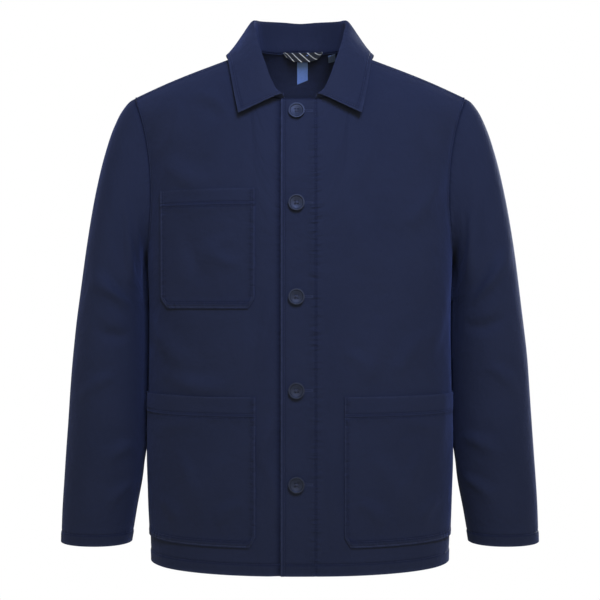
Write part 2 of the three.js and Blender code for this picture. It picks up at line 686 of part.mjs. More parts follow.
function pocketMesh(name, cloth, pocket) {
  const { grid, normals, flip } = cloth;
  const side = flip ? -1 : 1;
  const hemLine = pocket.top - pocket.hem;
  const cornerLine = pocket.bottom + pocket.corner;
  const body = [0.25, 0.5, 0.75].map((share) => mix(cornerLine, hemLine, share));
  const heights = [pocket.bottom, cornerLine, ...body, hemLine, hemLine + HEM_BAND_STEP, pocket.top];
  const lastColumn = grid[0].length - 1;
  const lines = heights.map((z, i) => {
    const cut = i === 0 ? pocket.corner : 0;
    const innerX = side * (pocket.inner + cut);
    const row = rowOfPlace(grid, innerX, z);
    const from = columnOfX(grid, row, innerX);
    const outerX = side * (pocket.outer - cut);
    const to = pocket.outer ? columnOfX(grid, row, outerX) : lastColumn - COLUMN_NUDGE;
    return { z, from, to };
  });
  const first = Math.ceil(Math.min(...lines.map((line) => line.from)) + COLUMN_NUDGE);
  const last = Math.floor(Math.max(...lines.map((line) => line.to)) - COLUMN_NUDGE);
  const outer = [];
  const inner = [];
  for (const { z, from, to } of lines) {
    const raise = z > hemLine ? HEM_BAND_RAISE : 0;
    const columns = [from];
    for (let k = first; k <= last; k += 1) {
      const low = from + COLUMN_NUDGE * (k - first + 1);
      const high = to - COLUMN_NUDGE * (last - k + 1);
      columns.push(clamp(k, low, high));
    }
    columns.push(to);
    const outerLine = [];
    const innerLine = [];
    for (const column of columns) {
      const x = gridPoint(grid, rowOfPlace(grid, side * pocket.inner, z), column).x;
      const row = rowOfPlace(grid, x, z);
      const normal = gridPoint(normals, row, column).normalize();
      const point = gridPoint(grid, row, column);
      innerLine.push(point.clone().addScaledVector(normal, PATCH_LIFT));
      outerLine.push(point.addScaledVector(normal, PATCH_LIFT + PATCH_WALL + raise));
    }
    outer.push(outerLine);
    inner.push(innerLine);
  }
  const mesh = new THREE.Mesh(wallGeometry(outer, inner, flip, false), fabric(COLOURS.pocket));
  mesh.name = name;
  return mesh;
}

const pieceNamed = (name) => clothPieces.find((cloth) => cloth.name === name);
jacket.add(pocketMesh('pocket_chest', pieceNamed('front_right'), CHEST_POCKET));
jacket.add(pocketMesh('pocket_lower_right', pieceNamed('front_right'), LOWER_POCKET));
jacket.add(pocketMesh('pocket_lower_left', pieceNamed('front_left'), LOWER_POCKET));

// Buttons: a dished disc with a raised rim and four holes
const wasm = await Module();
wasm.setup();

function toSolid(geometry) {
  const bare = geometry.clone();
  bare.deleteAttribute('normal');
  bare.deleteAttribute('uv');
  const merged = mergeVertices(bare, 1e-4);
  return new wasm.Manifold(new wasm.Mesh({
    numProp: 3,
    vertProperties: new Float32Array(merged.attributes.position.array),
    triVerts: new Uint32Array(merged.index.array),
  }));
}

function toGeometry(solid) {
  const mesh = solid.getMesh();
  const geometry = new THREE.BufferGeometry();
  geometry.setAttribute('position', new THREE.BufferAttribute(mesh.vertProperties, 3));
  geometry.setIndex(new THREE.BufferAttribute(mesh.triVerts, 1));
  geometry.computeVertexNormals();
  return geometry;
}

function buttonGeometry() {
  const { radius, height, rim, dish, foot, edge } = BUTTON;
  const profile = [
    [0, 0],
    [radius - foot, 0],
    [radius, foot],
    [radius - edge, height - edge],
    [radius - rim / 2, height],
    [radius - rim, height - dish],
    [0, height - dish],
  ].map(([x, y]) => new THREE.Vector2(x, y));
  let solid = toSolid(new THREE.LatheGeometry(profile, BUTTON_SIDES));
  for (const turn of [0, 1, 2, 3]) {
    const angle = (turn + 0.5) * RIGHT_ANGLE;
    const hole = new THREE.CylinderGeometry(BUTTON.holeRadius, BUTTON.holeRadius, 3 * height, HOLE_SIDES);
    hole.translate(BUTTON.holeRing * Math.cos(angle), 0, BUTTON.holeRing * Math.sin(angle));
    solid = solid.subtract(toSolid(hole));
  }
  return toGeometry(solid);
}

for (let k = 0; k < BUTTON_COUNT; k += 1) {
  const cloth = pieceNamed('front_left');
  const row = rowOfPlace(cloth.grid, BUTTON_X, BUTTON_TOP_Z - k * BUTTON_SPACING);
  const column = columnOfX(cloth.grid, row, BUTTON_X);
  const normal = gridPoint(cloth.normals, row, column).normalize();
  const mesh = new THREE.Mesh(
    buttonGeometry(),
    new THREE.MeshStandardMaterial({ color: COLOURS.button, roughness: 0.55, metalness: 0 }),
  );
  mesh.position.copy(gridPoint(cloth.grid, row, column)).addScaledVector(normal, BUTTON_LIFT);
  mesh.quaternion.setFromUnitVectors(new THREE.Vector3(0, 1, 0), normal);
  mesh.name = `button_${k + 1}`;
  jacket.add(mesh);
}

// Tapes on the inside of the back, under the neck seam
function insideBack(x, z, lift) {
  const { grid, normals } = pieceNamed('back');
  const row = rowOfPlace(grid, x, z);
  const column = columnOfX(grid, row, x);
  const normal = gridPoint(normals, row, column).normalize();
  return gridPoint(grid, row, column).addScaledVector(normal, -WALL - lift);
}

function tapeMesh(name, places, lift, colour) {
  const near = places.map((row) => row.map(({ x, z }) => insideBack(x, z, lift)));
  const far = places.map((row) => row.map(({ x, z }) => insideBack(x, z, lift + TAPE_WALL)));
  const mesh = new THREE.Mesh(wallGeometry(far, near, false, false), fabric(colour));
  mesh.name = name;
  return mesh;
}

function labelPlaces(label) {
  return LABEL_STEPS.map((rise) => LABEL_STEPS.map((across) => {
    const low = label.bottomZ + label.slant * across;
    return { x: mix(label.fromX, label.toX, across), z: mix(low, label.topZ, rise) };
  }));
}

function loopPlaces() {
  return [0, 1].map((edge) => Array.from({ length: LOOP.steps + 1 }, (unused, k) => {
    const share = k / LOOP.steps;
    const swing = 2 * share - 1;
    const z = LOOP.topZ - LOOP.sag * (1 - swing * swing);
    return { x: mix(LOOP.fromX, LOOP.toX, share), z: z + (edge - 1) * LOOP.width };
  }));
}

jacket.add(tapeMesh('hanger_loop', loopPlaces(), LOOP.lift, COLOURS.loop));
jacket.add(tapeMesh('neck_label', labelPlaces(NECK_LABEL), NECK_LABEL.lift, COLOURS.label));
jacket.add(tapeMesh('size_label', labelPlaces(SIZE_LABEL), SIZE_LABEL.lift, COLOURS.size));

export default jacket;
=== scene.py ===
import math
import bmesh
import bpy
import numpy as np
from mathutils import Matrix, Vector
from mathutils.bvhtree import BVHTree


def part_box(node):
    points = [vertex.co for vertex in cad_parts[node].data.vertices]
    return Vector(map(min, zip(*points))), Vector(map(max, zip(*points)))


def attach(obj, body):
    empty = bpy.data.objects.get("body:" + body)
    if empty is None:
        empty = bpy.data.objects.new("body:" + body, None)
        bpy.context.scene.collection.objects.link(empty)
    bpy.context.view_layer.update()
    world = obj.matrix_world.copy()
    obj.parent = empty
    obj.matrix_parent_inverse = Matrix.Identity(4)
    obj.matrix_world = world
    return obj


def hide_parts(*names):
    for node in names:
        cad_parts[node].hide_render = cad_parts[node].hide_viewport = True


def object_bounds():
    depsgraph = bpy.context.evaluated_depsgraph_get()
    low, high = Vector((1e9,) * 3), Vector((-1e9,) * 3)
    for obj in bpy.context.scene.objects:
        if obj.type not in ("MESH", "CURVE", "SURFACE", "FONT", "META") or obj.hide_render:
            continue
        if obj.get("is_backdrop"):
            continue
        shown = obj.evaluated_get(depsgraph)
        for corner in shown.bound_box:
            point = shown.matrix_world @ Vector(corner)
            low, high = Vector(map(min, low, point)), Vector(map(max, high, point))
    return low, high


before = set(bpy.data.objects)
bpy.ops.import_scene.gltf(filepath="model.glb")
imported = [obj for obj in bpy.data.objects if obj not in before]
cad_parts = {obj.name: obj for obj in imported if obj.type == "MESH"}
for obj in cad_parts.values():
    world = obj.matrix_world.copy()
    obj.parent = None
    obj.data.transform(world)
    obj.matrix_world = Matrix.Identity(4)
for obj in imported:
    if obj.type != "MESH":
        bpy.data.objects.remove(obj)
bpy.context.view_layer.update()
bpy.ops.object.select_all(action="DESELECT")

# Back
# One piece of navy cotton twill that goes up from the hem and over the shoulders to a seam on the front
# of them. It is cut flat, turned up and stitched at the hem, and sewn to the fronts at sides and shoulders.
MM = 0.001
WELD = 1e-5
SOLID_WALL = 1.6 * MM
RIM_LIMIT = 1.12
CLOTH_WALL = 1.3 * MM
BACK_STEP = 3.8 * MM
FINE_STEP = 1.1 * MM
BACK_START = (-0.205, 0, -0.692)
HEM_STITCH = 15 * MM
NECK_CORNER = 72 * MM
UNDERARM_Z = -285 * MM
NECK_RAISE = [(0, 0), (10, 1.8), (20, 4.2), (30, 4.6), (40, 4.0), (55, 2.2), (66, 0.6), (76, 0)]
ROW_NEAR = 2.0 * MM
ROW_FAR = 8.0 * MM
STITCH_PITCH = 3.3 * MM
STITCH_LENGTH = 2.5 * MM
STITCH_HALF_WIDTH = 0.3 * MM
STITCH_HEIGHT = 0.3 * MM
NAVY = (0.0122, 0.0141, 0.0212, 1)
NAVY_DEEP = (0.0071, 0.0085, 0.0136, 1)
# Painted shade: the colour that grooves, seams and the lap edge are darkened to. The button thread also takes
# it as its darker twist
NAVY_SHADED = (0.0028, 0.0036, 0.008, 1)
# The pale of edges and seam ridges, partly wear and partly a painted highlight
NAVY_WEAR_AND_HIGHLIGHT = (0.025, 0.029, 0.043, 1)
THREAD_NAVY = (0.0125, 0.0155, 0.029, 1)
TWILL_PITCH = 0.95 * MM
FOLD_HIGH = 2.8 * MM
SMOOTH_ANGLE = math.radians(50)
SEAM_TURN = 12 * MM
BACK_SMOOTH = 6
BACK_DRIFT = 0.9
HEM_HIGH = 0.7
SEAM_HIGH = 1.0
BAND_SLOPE = 2.2 * MM
STITCH_TAPER = 0.45
# A fold has a ridge and a shallower trough beside it, as shares of its half width and height
TROUGH_OFF = 1.9
TROUGH_WIDE = 1.3
TROUGH_DEEP = 0.3
# Slow waves of the cloth: length in millimetres, direction in radians. A seed turns and shifts them
DRIFT_WAVES = ((61, 0.3), (83, 1.9), (107, 1.2), (149, 2.6), (47, 0.9))
DRIFT_LONGEST = 149
DRIFT_TURN = 0.3
DRIFT_SHIFT = 1.7
WAVE_SHIFT = 2.1
# The neck seam is raised behind this y, fully so after the next distance, and fades with distance from
# the seam. All in millimetres
NECK_BACK_Y = -10
NECK_BACK_FADE = 30
NECK_FADE = 26
# How far marks reach from a row, a seam or an edge, in millimetres: painted shade, puckers, and wear with a
# painted highlight
ROW_PAINTED_SHADE = 1.4
SEAM_PAINTED_SHADE = 1.2
ROW_PUCKER = 6
HEM_PUCKER = 7
EDGE_WEAR_AND_HIGHLIGHT = 2.5
# Yarns, flecks and clouds of the twill: noise scales, and how far each is stretched along the cloth
YARN_WOBBLE = 260.0
WARP_STRETCH = (1400.0, 70.0, 1.0)
WEFT_STRETCH = (90.0, 1200.0, 1.0)
CLOUD_SCALE = 11.0
FLECK_SCALE = 190.0
PUCKER_UP_STRETCH = (34.0, 150.0, 1.0)
PUCKER_ACROSS_STRETCH = (150.0, 34.0, 1.0)
CRUMPLE_SCALE = 42.0
PUCKER_HIGH = 4.6 * MM
YARN_HIGH = 0.16 * MM
TWILL_SHEEN = 0.06
SHEEN_ROUGHNESS = 0.45
SHEEN_BLUE = (0.42, 0.52, 0.95, 1)
THREAD_TWIST = 1500.0
THREAD_RELIEF = 0.15 * MM
# How the ribs and the ends of their floats slant, as shares of the distances across and up the cloth
RIB_ACROSS = 0.66
RIB_UP = 0.75
FLOAT_ACROSS = 0.9
FLOAT_UP = 0.66
FLOAT_TURN = 0.62
# How far painted shade darkens the cloth
PAINTED_SHADE_DARK = 0.75
# How far wear and a painted highlight pale the cloth
WEAR_AND_HIGHLIGHT_PALE = 0.55
# How a fold widens along its way, from a share of its half width, and how it fades towards its ends
FOLD_NARROW = 0.75
FOLD_WIDENS = 0.5
FOLD_FADE = 1.5

# Folds of the back: from x, z to x, z, then sideways bow and half width, all in millimetres, and the
# height as a share of FOLD_HIGH
BACK_FOLDS = [
    (118, -170, 84, -560, 14, 15, 2.6),
    (-112, -190, -88, -590, -12, 16, 2.8),
    (170, -240, 148, -470, 8, 11, 1.9),
    (-168, -250, -150, -450, -8, 12, 2.0),
    (150, -120, 60, -210, 12, 12, 1.5),
    (-146, -118, -66, -200, -12, 12, 1.4),
    (60, -60, -70, -66, -16, 9, 1.1),
    (20, -320, 12, -610, 6, 17, -2.2),
    (-46, -350, -40, -640, -6, 15, -1.7),
    (190, -430, 120, -500, 8, 9, 1.5),
    (-188, -440, -118, -520, -8, 9, 1.4),
    (194, -560, 130, -610, 6, 9, 1.1),
    (-192, -570, -140, -600, -5, 8, 1.1),
    (40, -560, 36, -690, 5, 11, 1.4),
    (-80, -580, -84, -690, 4, 11, 1.2),
]


class Shade:
    """Wraps a socket of a material's nodes, so that its maths is written as plain expressions."""

    def __init__(self, tree, socket=None):
        self.tree = tree
        self.socket = socket

    def node(self, kind, settings=None, inputs=None):
        """Adds a node, with its settings first and then the values or links of its sockets."""
        made = self.tree.nodes.new(kind)
        for key, value in (settings or {}).items():
            setattr(made, key, value)
        for key, value in (inputs or {}).items():
            self.put(made.inputs[key], value)
        return Shade(self.tree, made.outputs[0])

    def out(self, key):
        return Shade(self.tree, self.socket.node.outputs[key])

    def put(self, socket, value):
        if isinstance(value, Shade):
            self.tree.links.new(value.socket, socket)
        else:
            socket.default_value = value

    def maths(self, operation, *values):
        return self.node("ShaderNodeMath", {"operation": operation}, dict(enumerate(values)))

    def __add__(self, other):
        return self.maths("ADD", self, other)

    def __sub__(self, other):
        return self.maths("SUBTRACT", self, other)

    def __mul__(self, other):
        return self.maths("MULTIPLY", self, other)

    def __rsub__(self, other):
        return self.maths("SUBTRACT", other, self)

    __radd__ = __add__
    __rmul__ = __mul__

    def sine(self):
        return self.maths("SINE", self)

    def between(self, low, high, to_low=0.0, to_high=1.0):
        """Maps low..high smoothly to to_low..to_high."""
        settings = {"interpolation_type": "SMOOTHSTEP"}
        return self.node("ShaderNodeMapRange", settings, {0: self, 1: low, 2: high, 3: to_low, 4: to_high})

    def noise(self, place, scale, detail=2.0, roughness=0.5):
        inputs = {"Vector": place, "Scale": scale, "Detail": detail, "Roughness": roughness}
        return self.node("ShaderNodeTexNoise", None, inputs)

    def blend(self, share, first, second):
        """Mixes two colours."""
        mixed = self.node("ShaderNodeMix", {"data_type": "RGBA"}, {0: share, 6: first, 7: second})
        return mixed.out(2)

    def stretched(self, place, scale):
        return self.node("ShaderNodeVectorMath", {"operation": "MULTIPLY"}, {0: place, 1: scale})

    def cloth_place(self):
        """The flat coordinates of a cloth, and the first and second of them."""
        flat = self.node("ShaderNodeUVMap", {"uv_map": "cloth"})
        parts = self.node("ShaderNodeSeparateXYZ", None, {0: flat})
        return flat, parts, parts.out(1)

    def marked(self, name):
        """One of the marks that a cloth holds at its points."""
        return self.node("ShaderNodeAttribute", {"attribute_name": name}).out("Fac")

    def relief(self, height, distance, strength=1.0, under=None):
        inputs = {"Height": height, "Distance": distance, "Strength": strength}
        if under:
            inputs["Normal"] = under
        return self.node("ShaderNodeBump", None, inputs)


def plain_material(name, roughness, sheen, sheen_tint, specular):
    """A new material with its shader, and a Shade on its nodes."""
    material = bpy.data.materials.new(name)
    material.use_nodes = True
    shader = material.node_tree.nodes["Principled BSDF"]
    shader.inputs["Roughness"].default_value = roughness
    shader.inputs["Specular IOR Level"].default_value = specular
    shader.inputs["Sheen Weight"].default_value = sheen
    shader.inputs["Sheen Roughness"].default_value = SHEEN_ROUGHNESS
    shader.inputs["Sheen Tint"].default_value = sheen_tint
    return material, shader, Shade(material.node_tree)


def twill(name):
    """Cotton twill: slanting ribs of short floats, uneven yarns, cloudy dye, puckers beside the seams."""
    material, shader, shade = plain_material(name, 0.9, TWILL_SHEEN, SHEEN_BLUE, 0.06)
    flat, u, v = shade.cloth_place()
    turn = 2 * math.pi / TWILL_PITCH
    wobble = shade.noise(flat, YARN_WOBBLE, 1.0) * 1.6
    rib = ((u * RIB_ACROSS + v * RIB_UP) * turn + wobble).sine()
    float_end = ((v * FLOAT_UP - u * FLOAT_ACROSS) * (turn * FLOAT_TURN) + wobble).sine()
    weave = rib * 0.5 + float_end * 0.22 + 0.5
    warp = shade.noise(shade.stretched(flat, WARP_STRETCH), 1.0, 1.0)
    weft = shade.noise(shade.stretched(flat, WEFT_STRETCH), 1.0, 1.0)
    cloud = shade.noise(flat, CLOUD_SCALE, 3.0)
    fleck = shade.noise(flat, FLECK_SCALE, 2.0, 0.7)
    wear_and_highlight = shade.marked("wear_and_highlight")
    tone = weave * 0.42 + warp * 0.3 + weft * 0.2 + fleck * 0.34 + cloud * 0.5 - 0.4
    cloth = shade.blend(tone.between(-0.1, 1.1), NAVY_DEEP, NAVY)
    # Painted shade darkens the cloth in stitch grooves, at seams and under the lap edge
    painted_shade = shade.marked("painted_shade")
    cloth = shade.blend(painted_shade * PAINTED_SHADE_DARK, cloth, NAVY_SHADED)
    # Edges and seam ridges pale, partly with wear and partly with a painted highlight
    wear_and_highlight_share = wear_and_highlight * fleck.between(0.3, 0.75, 0.25, 1.0)
    shade.put(shader.inputs["Base Color"], shade.blend(wear_and_highlight_share * WEAR_AND_HIGHLIGHT_PALE, cloth, NAVY_WEAR_AND_HIGHLIGHT))
    shade.put(shader.inputs["Roughness"], 0.94 - weave * 0.06 - wear_and_highlight_share * 0.04)
    along = shade.marked("pucker_up")
    across = shade.marked("pucker_across")
    wave_up = shade.noise(shade.stretched(flat, PUCKER_UP_STRETCH), 1.0, 1.5)
    wave_across = shade.noise(shade.stretched(flat, PUCKER_ACROSS_STRETCH), 1.0, 1.5)
    crumple = shade.noise(flat, CRUMPLE_SCALE, 3.0, 0.55)
    puckers = along * wave_up + across * wave_across
    large = shade.relief(puckers + crumple * 0.42, PUCKER_HIGH)
    fine = shade.relief(weave * 0.7 + warp * 0.25 + fleck * 0.25, YARN_HIGH, 0.8, large)
    shade.put(shader.inputs["Normal"], fine)
    return material


def thread(name, high, low):
    """Sewing thread: twisted, with a slight gloss."""
    material, shader, shade = plain_material(name, 0.62, 0.1, (0.6, 0.7, 1.0, 1), 0.3)
    place = shade.node("ShaderNodeTexCoord").out("Object")
    twist = shade.noise(place, THREAD_TWIST, 1.0)
    shade.put(shader.inputs["Base Color"], shade.blend(twist.between(0.3, 0.7), low, high))
    shade.put(shader.inputs["Normal"], shade.relief(twist, THREAD_RELIEF))
    return material


def one_side(node, wall, turn, facing):
    """One side of a node's wall, as a bmesh of triangles: the larger one, or one that faces a direction.
    It ends at the rim, whose faces are as narrow as the wall, or at edges with more than a given turn."""
    bm = bmesh.new()
    bm.from_mesh(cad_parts[node].data)
    bmesh.ops.remove_doubles(bm, verts=bm.verts[:], dist=WELD)
    rim = [face for face in bm.faces if min(edge.calc_length() for edge in face.edges) < wall * RIM_LIMIT]
    bmesh.ops.delete(bm, geom=rim, context="FACES")
    bm.normal_update()
    left = set(bm.faces)
    kept, kept_area = [], 0
    while left:
        patch = [left.pop()]
        for face in patch:
            flat = [edge for edge in face.edges if edge.calc_face_angle(0) <= turn]
            for other in (other for edge in flat for other in edge.link_faces):
                if other in left:
                    left.remove(other)
                    patch.append(other)
        area = sum(face.calc_area() for face in patch)
        towards = sum((face.normal * face.calc_area() for face in patch), Vector()).dot(facing)
        if area > kept_area and towards >= 0:
            kept, kept_area = patch, area
    kept = set(kept)
    bmesh.ops.delete(bm, geom=[face for face in bm.faces if face not in kept], context="FACES")
    return bm


def join_cells(bm):
    """Joins the two triangles of each cell of the wall. All of their diagonals run the same way."""
    loops = [vert.link_loops[0] for vert in bm.verts if len(vert.link_edges) == 2]
    if not loops:
        loops = [loop for face in bm.faces for loop in face.loops]
    first = min(loops, key=lambda loop: abs(loop.calc_angle() - math.pi / 2))
    diagonal = {first.face: first.link_loop_next}
    queue = [first.face]
    for face in queue:
        own = list(face.loops)
        place = own.index(diagonal[face])
        for k, loop in enumerate(own):
            across = loop.link_loop_radial_next
            if across.face not in diagonal:
                theirs = list(across.face.loops)
                diagonal[across.face] = theirs[(theirs.index(across) + place - k) % 3]
                queue.append(across.face)
    edges = list({loop.edge for loop in diagonal.values()})
    bmesh.ops.dissolve_edges(bm, edges=edges, use_verts=False)


def next_row(row, tube, used):
    """The vertices beyond a row of them, through cells that weren't used."""
    pairs = list(zip(row, row[1:] + row[:1])) if tube else list(zip(row, row[1:]))
    beyond = []
    for a, b in pairs:
        cells = [face for face in a.link_faces if b in face.verts[:] and face not in used]
        if not cells:
            return []
        used.add(cells[0])
        sides = [edge for edge in cells[0].edges if b not in edge.verts[:] and a in edge.verts[:]]
        beyond.append(sides[0].other_vert(a))
        if b == row[-1] and not tube:
            sides = [edge for edge in cells[0].edges if a not in edge.verts[:] and b in edge.verts[:]]
            beyond.append(sides[0].other_vert(b))
    return beyond


def rows_of(node, start, along, wall, turn, facing):
    """The points of one side of a node's wall, in rows, and which way its normals point.
    The first row begins at the corner nearest to start and runs in the direction given."""
    bm = one_side(node, wall, turn, Vector(facing))
    join_cells(bm)
    corners = [vert for vert in bm.verts if len(vert.link_edges) == 2]
    tube = not corners
    ends = [vert for vert in bm.verts if vert.is_boundary] if tube else corners
    first = min(ends, key=lambda vert: (vert.co - Vector(start)).length)
    rim = [edge for edge in first.link_edges if edge.is_boundary]
    edge = max(rim, key=lambda e: (e.other_vert(first).co - first.co).normalized().dot(Vector(along)))
    row = [first]
    while True:
        vert = edge.other_vert(row[-1])
        if vert == first:
            break
        row.append(vert)
        if len(vert.link_edges) == 2:
            break
        edge = [e for e in vert.link_edges if e.is_boundary and e != edge][0]
    rows, used = [], set()
    while row:
        rows.append(row)
        row = next_row(row, tube, used)
    points = np.array([[vert.co[:] for vert in row] for row in rows])
    if tube:
        points = np.concatenate([points, points[:, :1]], axis=1)
    a, b, c = (Vector(points[k]) for k in ((0, 0), (0, 1), (1, 0)))
    cell = [face for face in rows[0][0].link_faces if rows[0][1] in face.verts[:]][0]
    outward = 1 if (b - a).cross(c - a).dot(cell.normal) > 0 else -1
    bm.free()
    return points, outward, tube


def running(lengths):
    """Distances from 0 along a line, at the ends of its pieces of these lengths."""
    return np.concatenate([[0], np.cumsum(lengths)])


def eased(share):
    """A share from 0 to 1 that starts and ends gently."""
    return share * share * (3 - 2 * share)


def steps(length, step, lines=()):
    """Even distances from 0 to length, and closer ones beside each line.
    A line below 0 counts from the end."""
    at = [np.linspace(0, length, max(round(length / step), 2) + 1)]
    for line in lines:
        at.append((line if line >= 0 else length + line) + np.arange(-3, 4) * FINE_STEP)
    at = np.unique(np.clip(np.concatenate(at), 0, length))
    at = at[np.append(np.diff(at) > FINE_STEP / 3, True)]
    at[0] = 0
    return at


def even_steps(points, step, closed=False, lines=()):
    """Reads rows of points at steps of the distance between them, on smooth curves through them."""
    gaps = np.linalg.norm(np.diff(points, axis=0), axis=2).mean(axis=1)
    place = running(gaps)
    rise = np.diff(points, axis=0) / gaps[:, None, None]
    slope = np.empty_like(points)
    before, after = gaps[:-1, None, None], gaps[1:, None, None]
    slope[1:-1] = (after * rise[:-1] + before * rise[1:]) / (before + after)
    if closed:
        slope[0] = (gaps[0] * rise[-1] + gaps[-1] * rise[0]) / (gaps[0] + gaps[-1])
        slope[-1] = slope[0]
    elif len(points) > 2:
        slope[0] = 2 * rise[0] - slope[1]
        slope[-1] = 2 * rise[-1] - slope[-2]
    else:
        slope[:] = rise[0]
    at = steps(place[-1], step, lines)
    k = np.clip(np.searchsorted(place, at, side="right") - 1, 0, len(gaps) - 1)
    width = gaps[k][:, None, None]
    t = ((at - place[k]) / gaps[k])[:, None, None]
    curve = points[k] + (points[k + 1] - points[k]) * eased(t)
    curve += width * (t * (1 - t) ** 2 * slope[k] - t * t * (1 - t) * slope[k + 1])
    return curve, at


# Marks held at a cloth's points: wear with a painted highlight, painted shade, and puckers up and across
MARKS = ("wear_and_highlight", "painted_shade", "pucker_up", "pucker_across")


class Sheet:
    """A fine grid of points on a piece of cloth. u and v are distances across and up it in the flat."""

    def __init__(self, points, u, v, outward, tube=False):
        self.points = points
        self.u = u
        self.v = v
        self.outward = outward
        self.tube = tube
        self.read = (None, None)
        self.marks = {name: np.zeros(points.shape[:2]) for name in MARKS}

    @property
    def width(self):
        return self.u[-1]

    @property
    def length(self):
        return self.v[-1]

    def grids(self):
        """u and v of each point."""
        return np.meshgrid(self.u, self.v)

    def normals(self):
        across = np.gradient(self.points, axis=1)
        if self.tube:
            across[:, 0] = self.points[:, 1] - self.points[:, -2]
            across[:, -1] = across[:, 0]
        up = np.gradient(self.points, axis=0)
        normal = np.cross(across, up) * self.outward
        return normal / np.linalg.norm(normal, axis=2, keepdims=True)

    def lift(self, height):
        self.points = self.points + self.normals() * height[..., None]

    def at(self, u, v):
        """Points and normals at distances u and v."""
        c = np.interp(u, self.u, np.arange(len(self.u)))
        r = np.interp(v, self.v, np.arange(len(self.v)))
        c0 = np.minimum(c.astype(int), len(self.u) - 2)
        r0 = np.minimum(r.astype(int), len(self.v) - 2)
        s, t = (c - c0)[..., None], (r - r0)[..., None]
        if self.read[0] is not self.points:
            self.read = (self.points, np.concatenate([self.points, self.normals()], axis=2))
        both = self.read[1]
        low = both[r0, c0] * (1 - s) + both[r0, c0 + 1] * s
        high = both[r0 + 1, c0] * (1 - s) + both[r0 + 1, c0 + 1] * s
        found = low * (1 - t) + high * t
        normal = found[..., 3:]
        return found[..., :3], normal / np.linalg.norm(normal, axis=-1, keepdims=True)

    def us_at_x(self, x):
        """How far across each row x lies."""
        way = 1 if self.points[0, -1, 0] > self.points[0, 0, 0] else -1
        return np.array([np.interp(way * x, way * row, self.u) for row in self.points[..., 0]])

    def v_at_z(self, z, column):
        """How far up one of the columns z lies."""
        return float(np.interp(z, self.points[:, column, 2], self.v))

    def level(self, low, high, shares, zs):
        """u and v at heights zs and at shares of the way between two lines.
        Each line is given as a u for every row."""
        us = low[:, None] + (high - low)[:, None] * shares
        z = np.array([np.interp(u, self.u, row) for u, row in zip(us, self.points[..., 2])])
        v = np.array([np.interp(zs, column, self.v) for column in z.T])
        u = np.array([np.interp(found, self.v, line) for found, line in zip(v, us.T)])
        return u.T, v.T

    def cut(self):
        """The largest distance across and up the cloth."""
        across = np.linalg.norm(np.diff(self.points, axis=1), axis=2).sum(axis=1).max()
        up = np.linalg.norm(np.diff(self.points, axis=0), axis=2).sum(axis=0).max()
        return float(across), float(up)

    def area(self):
        p = self.points
        first = np.cross(p[1:, 1:] - p[:-1, :-1], p[1:, :-1] - p[:-1, 1:])
        return float(np.linalg.norm(first, axis=2).sum() / 2)

    def mark(self, name, amount):
        self.marks[name] = np.maximum(self.marks[name], amount)


def sheet_of(node, step, start, along, wall=SOLID_WALL, turn=math.pi, facing=(0, 0, 0), smooth=0,
             lines_across=(), lines_up=()):
    """The sheet of a node's wall, smoothed some times, with closer points beside lines across and up it."""
    points, outward, tube = rows_of(node, start, along, wall, turn, facing)
    if smooth:
        points = even_steps(points, step)[0]
        points = even_steps(points.transpose(1, 0, 2), step, closed=tube)[0].transpose(1, 0, 2)
    for _ in range(smooth):
        beside = points[1:-1, :-2] + points[1:-1, 2:] + points[:-2, 1:-1] + points[2:, 1:-1]
        points[1:-1, 1:-1] = (points[1:-1, 1:-1] * 4 + beside) / 8
    points, v = even_steps(points, step, lines=lines_up)
    points, u = even_steps(points.transpose(1, 0, 2), step, closed=tube, lines=lines_across)
    return Sheet(points.transpose(1, 0, 2), u, v, outward, tube)


def folds(across, up, table):
    """Height of soft folds that are listed for a sheet, in metres, for places in millimetres."""
    height = np.zeros_like(across)
    for x0, z0, x1, z1, bow, wide, high in table:
        length = math.hypot(x1 - x0, z1 - z0)
        dx, dz = (x1 - x0) / length, (z1 - z0) / length
        s = ((across - x0) * dx + (up - z0) * dz) / length
        off = (up - z0) * dx - (across - x0) * dz - bow * 4 * s * (1 - s)
        swell = np.clip(1 - (2 * s - 1) ** 2, 0, 1) ** FOLD_FADE
        spread = wide * (FOLD_NARROW + FOLD_WIDENS * np.clip(s, 0, 1))
        ridge = np.exp(-((off / spread) ** 2))
        trough = np.exp(-(((off - TROUGH_OFF * spread) / (TROUGH_WIDE * spread)) ** 2))
        height += high * swell * (ridge - TROUGH_DEEP * trough)
    return height * FOLD_HIGH


def drift(across, up, high, seed):
    """Slow uneven swells of well-used cloth, in metres, for places in millimetres."""
    total = 0
    for k, (length, way) in enumerate(DRIFT_WAVES):
        phase = seed * DRIFT_SHIFT + k * WAVE_SHIFT
        turned = way + seed * DRIFT_TURN
        place = across * math.cos(turned) + up * math.sin(turned)
        total = total + np.sin(place * 2 * math.pi / length + phase) * length / DRIFT_LONGEST
    return total * high * MM / len(DRIFT_WAVES)


def near(distance, wide):
    """1 on a line and less beside it. The distance is in metres and the half width in millimetres."""
    return np.exp(-((distance / (wide * MM)) ** 2))


def stitch_groove(distance, deep=0.6, wide=1.6):
    """A row of stitches pulls the cloth down, by distance from the row."""
    return -deep * MM * near(distance, wide)


def step_band(distance, wide, high):
    """Turned cloth stands a little higher from its edge to a distance."""
    share = np.clip((wide - distance) / BAND_SLOPE + 0.5, 0, 1)
    return high * MM * eased(share)


def turned_hem(distance):
    """A hem that is folded up and stitched, by distance from its edge."""
    return step_band(distance, HEM_STITCH, HEM_HIGH) + stitch_groove(distance - HEM_STITCH)


def stitched_seam(distance):
    """A seam whose inner edges are turned to this side and stitched down, by distance from it."""
    return step_band(distance, ROW_FAR + MM, SEAM_HIGH) + stitch_groove(distance - ROW_FAR)


def seam_roll(distance, deep=1.3, wide=2.6):
    """Cloth rolls in towards the piece that it is sewn to."""
    return -deep * MM * np.exp(-np.abs(distance) / (wide * MM))


def linked(name, mesh):
    """A new object of a mesh, in the scene."""
    made = bpy.data.objects.new(name, mesh)
    bpy.context.collection.objects.link(made)
    return made


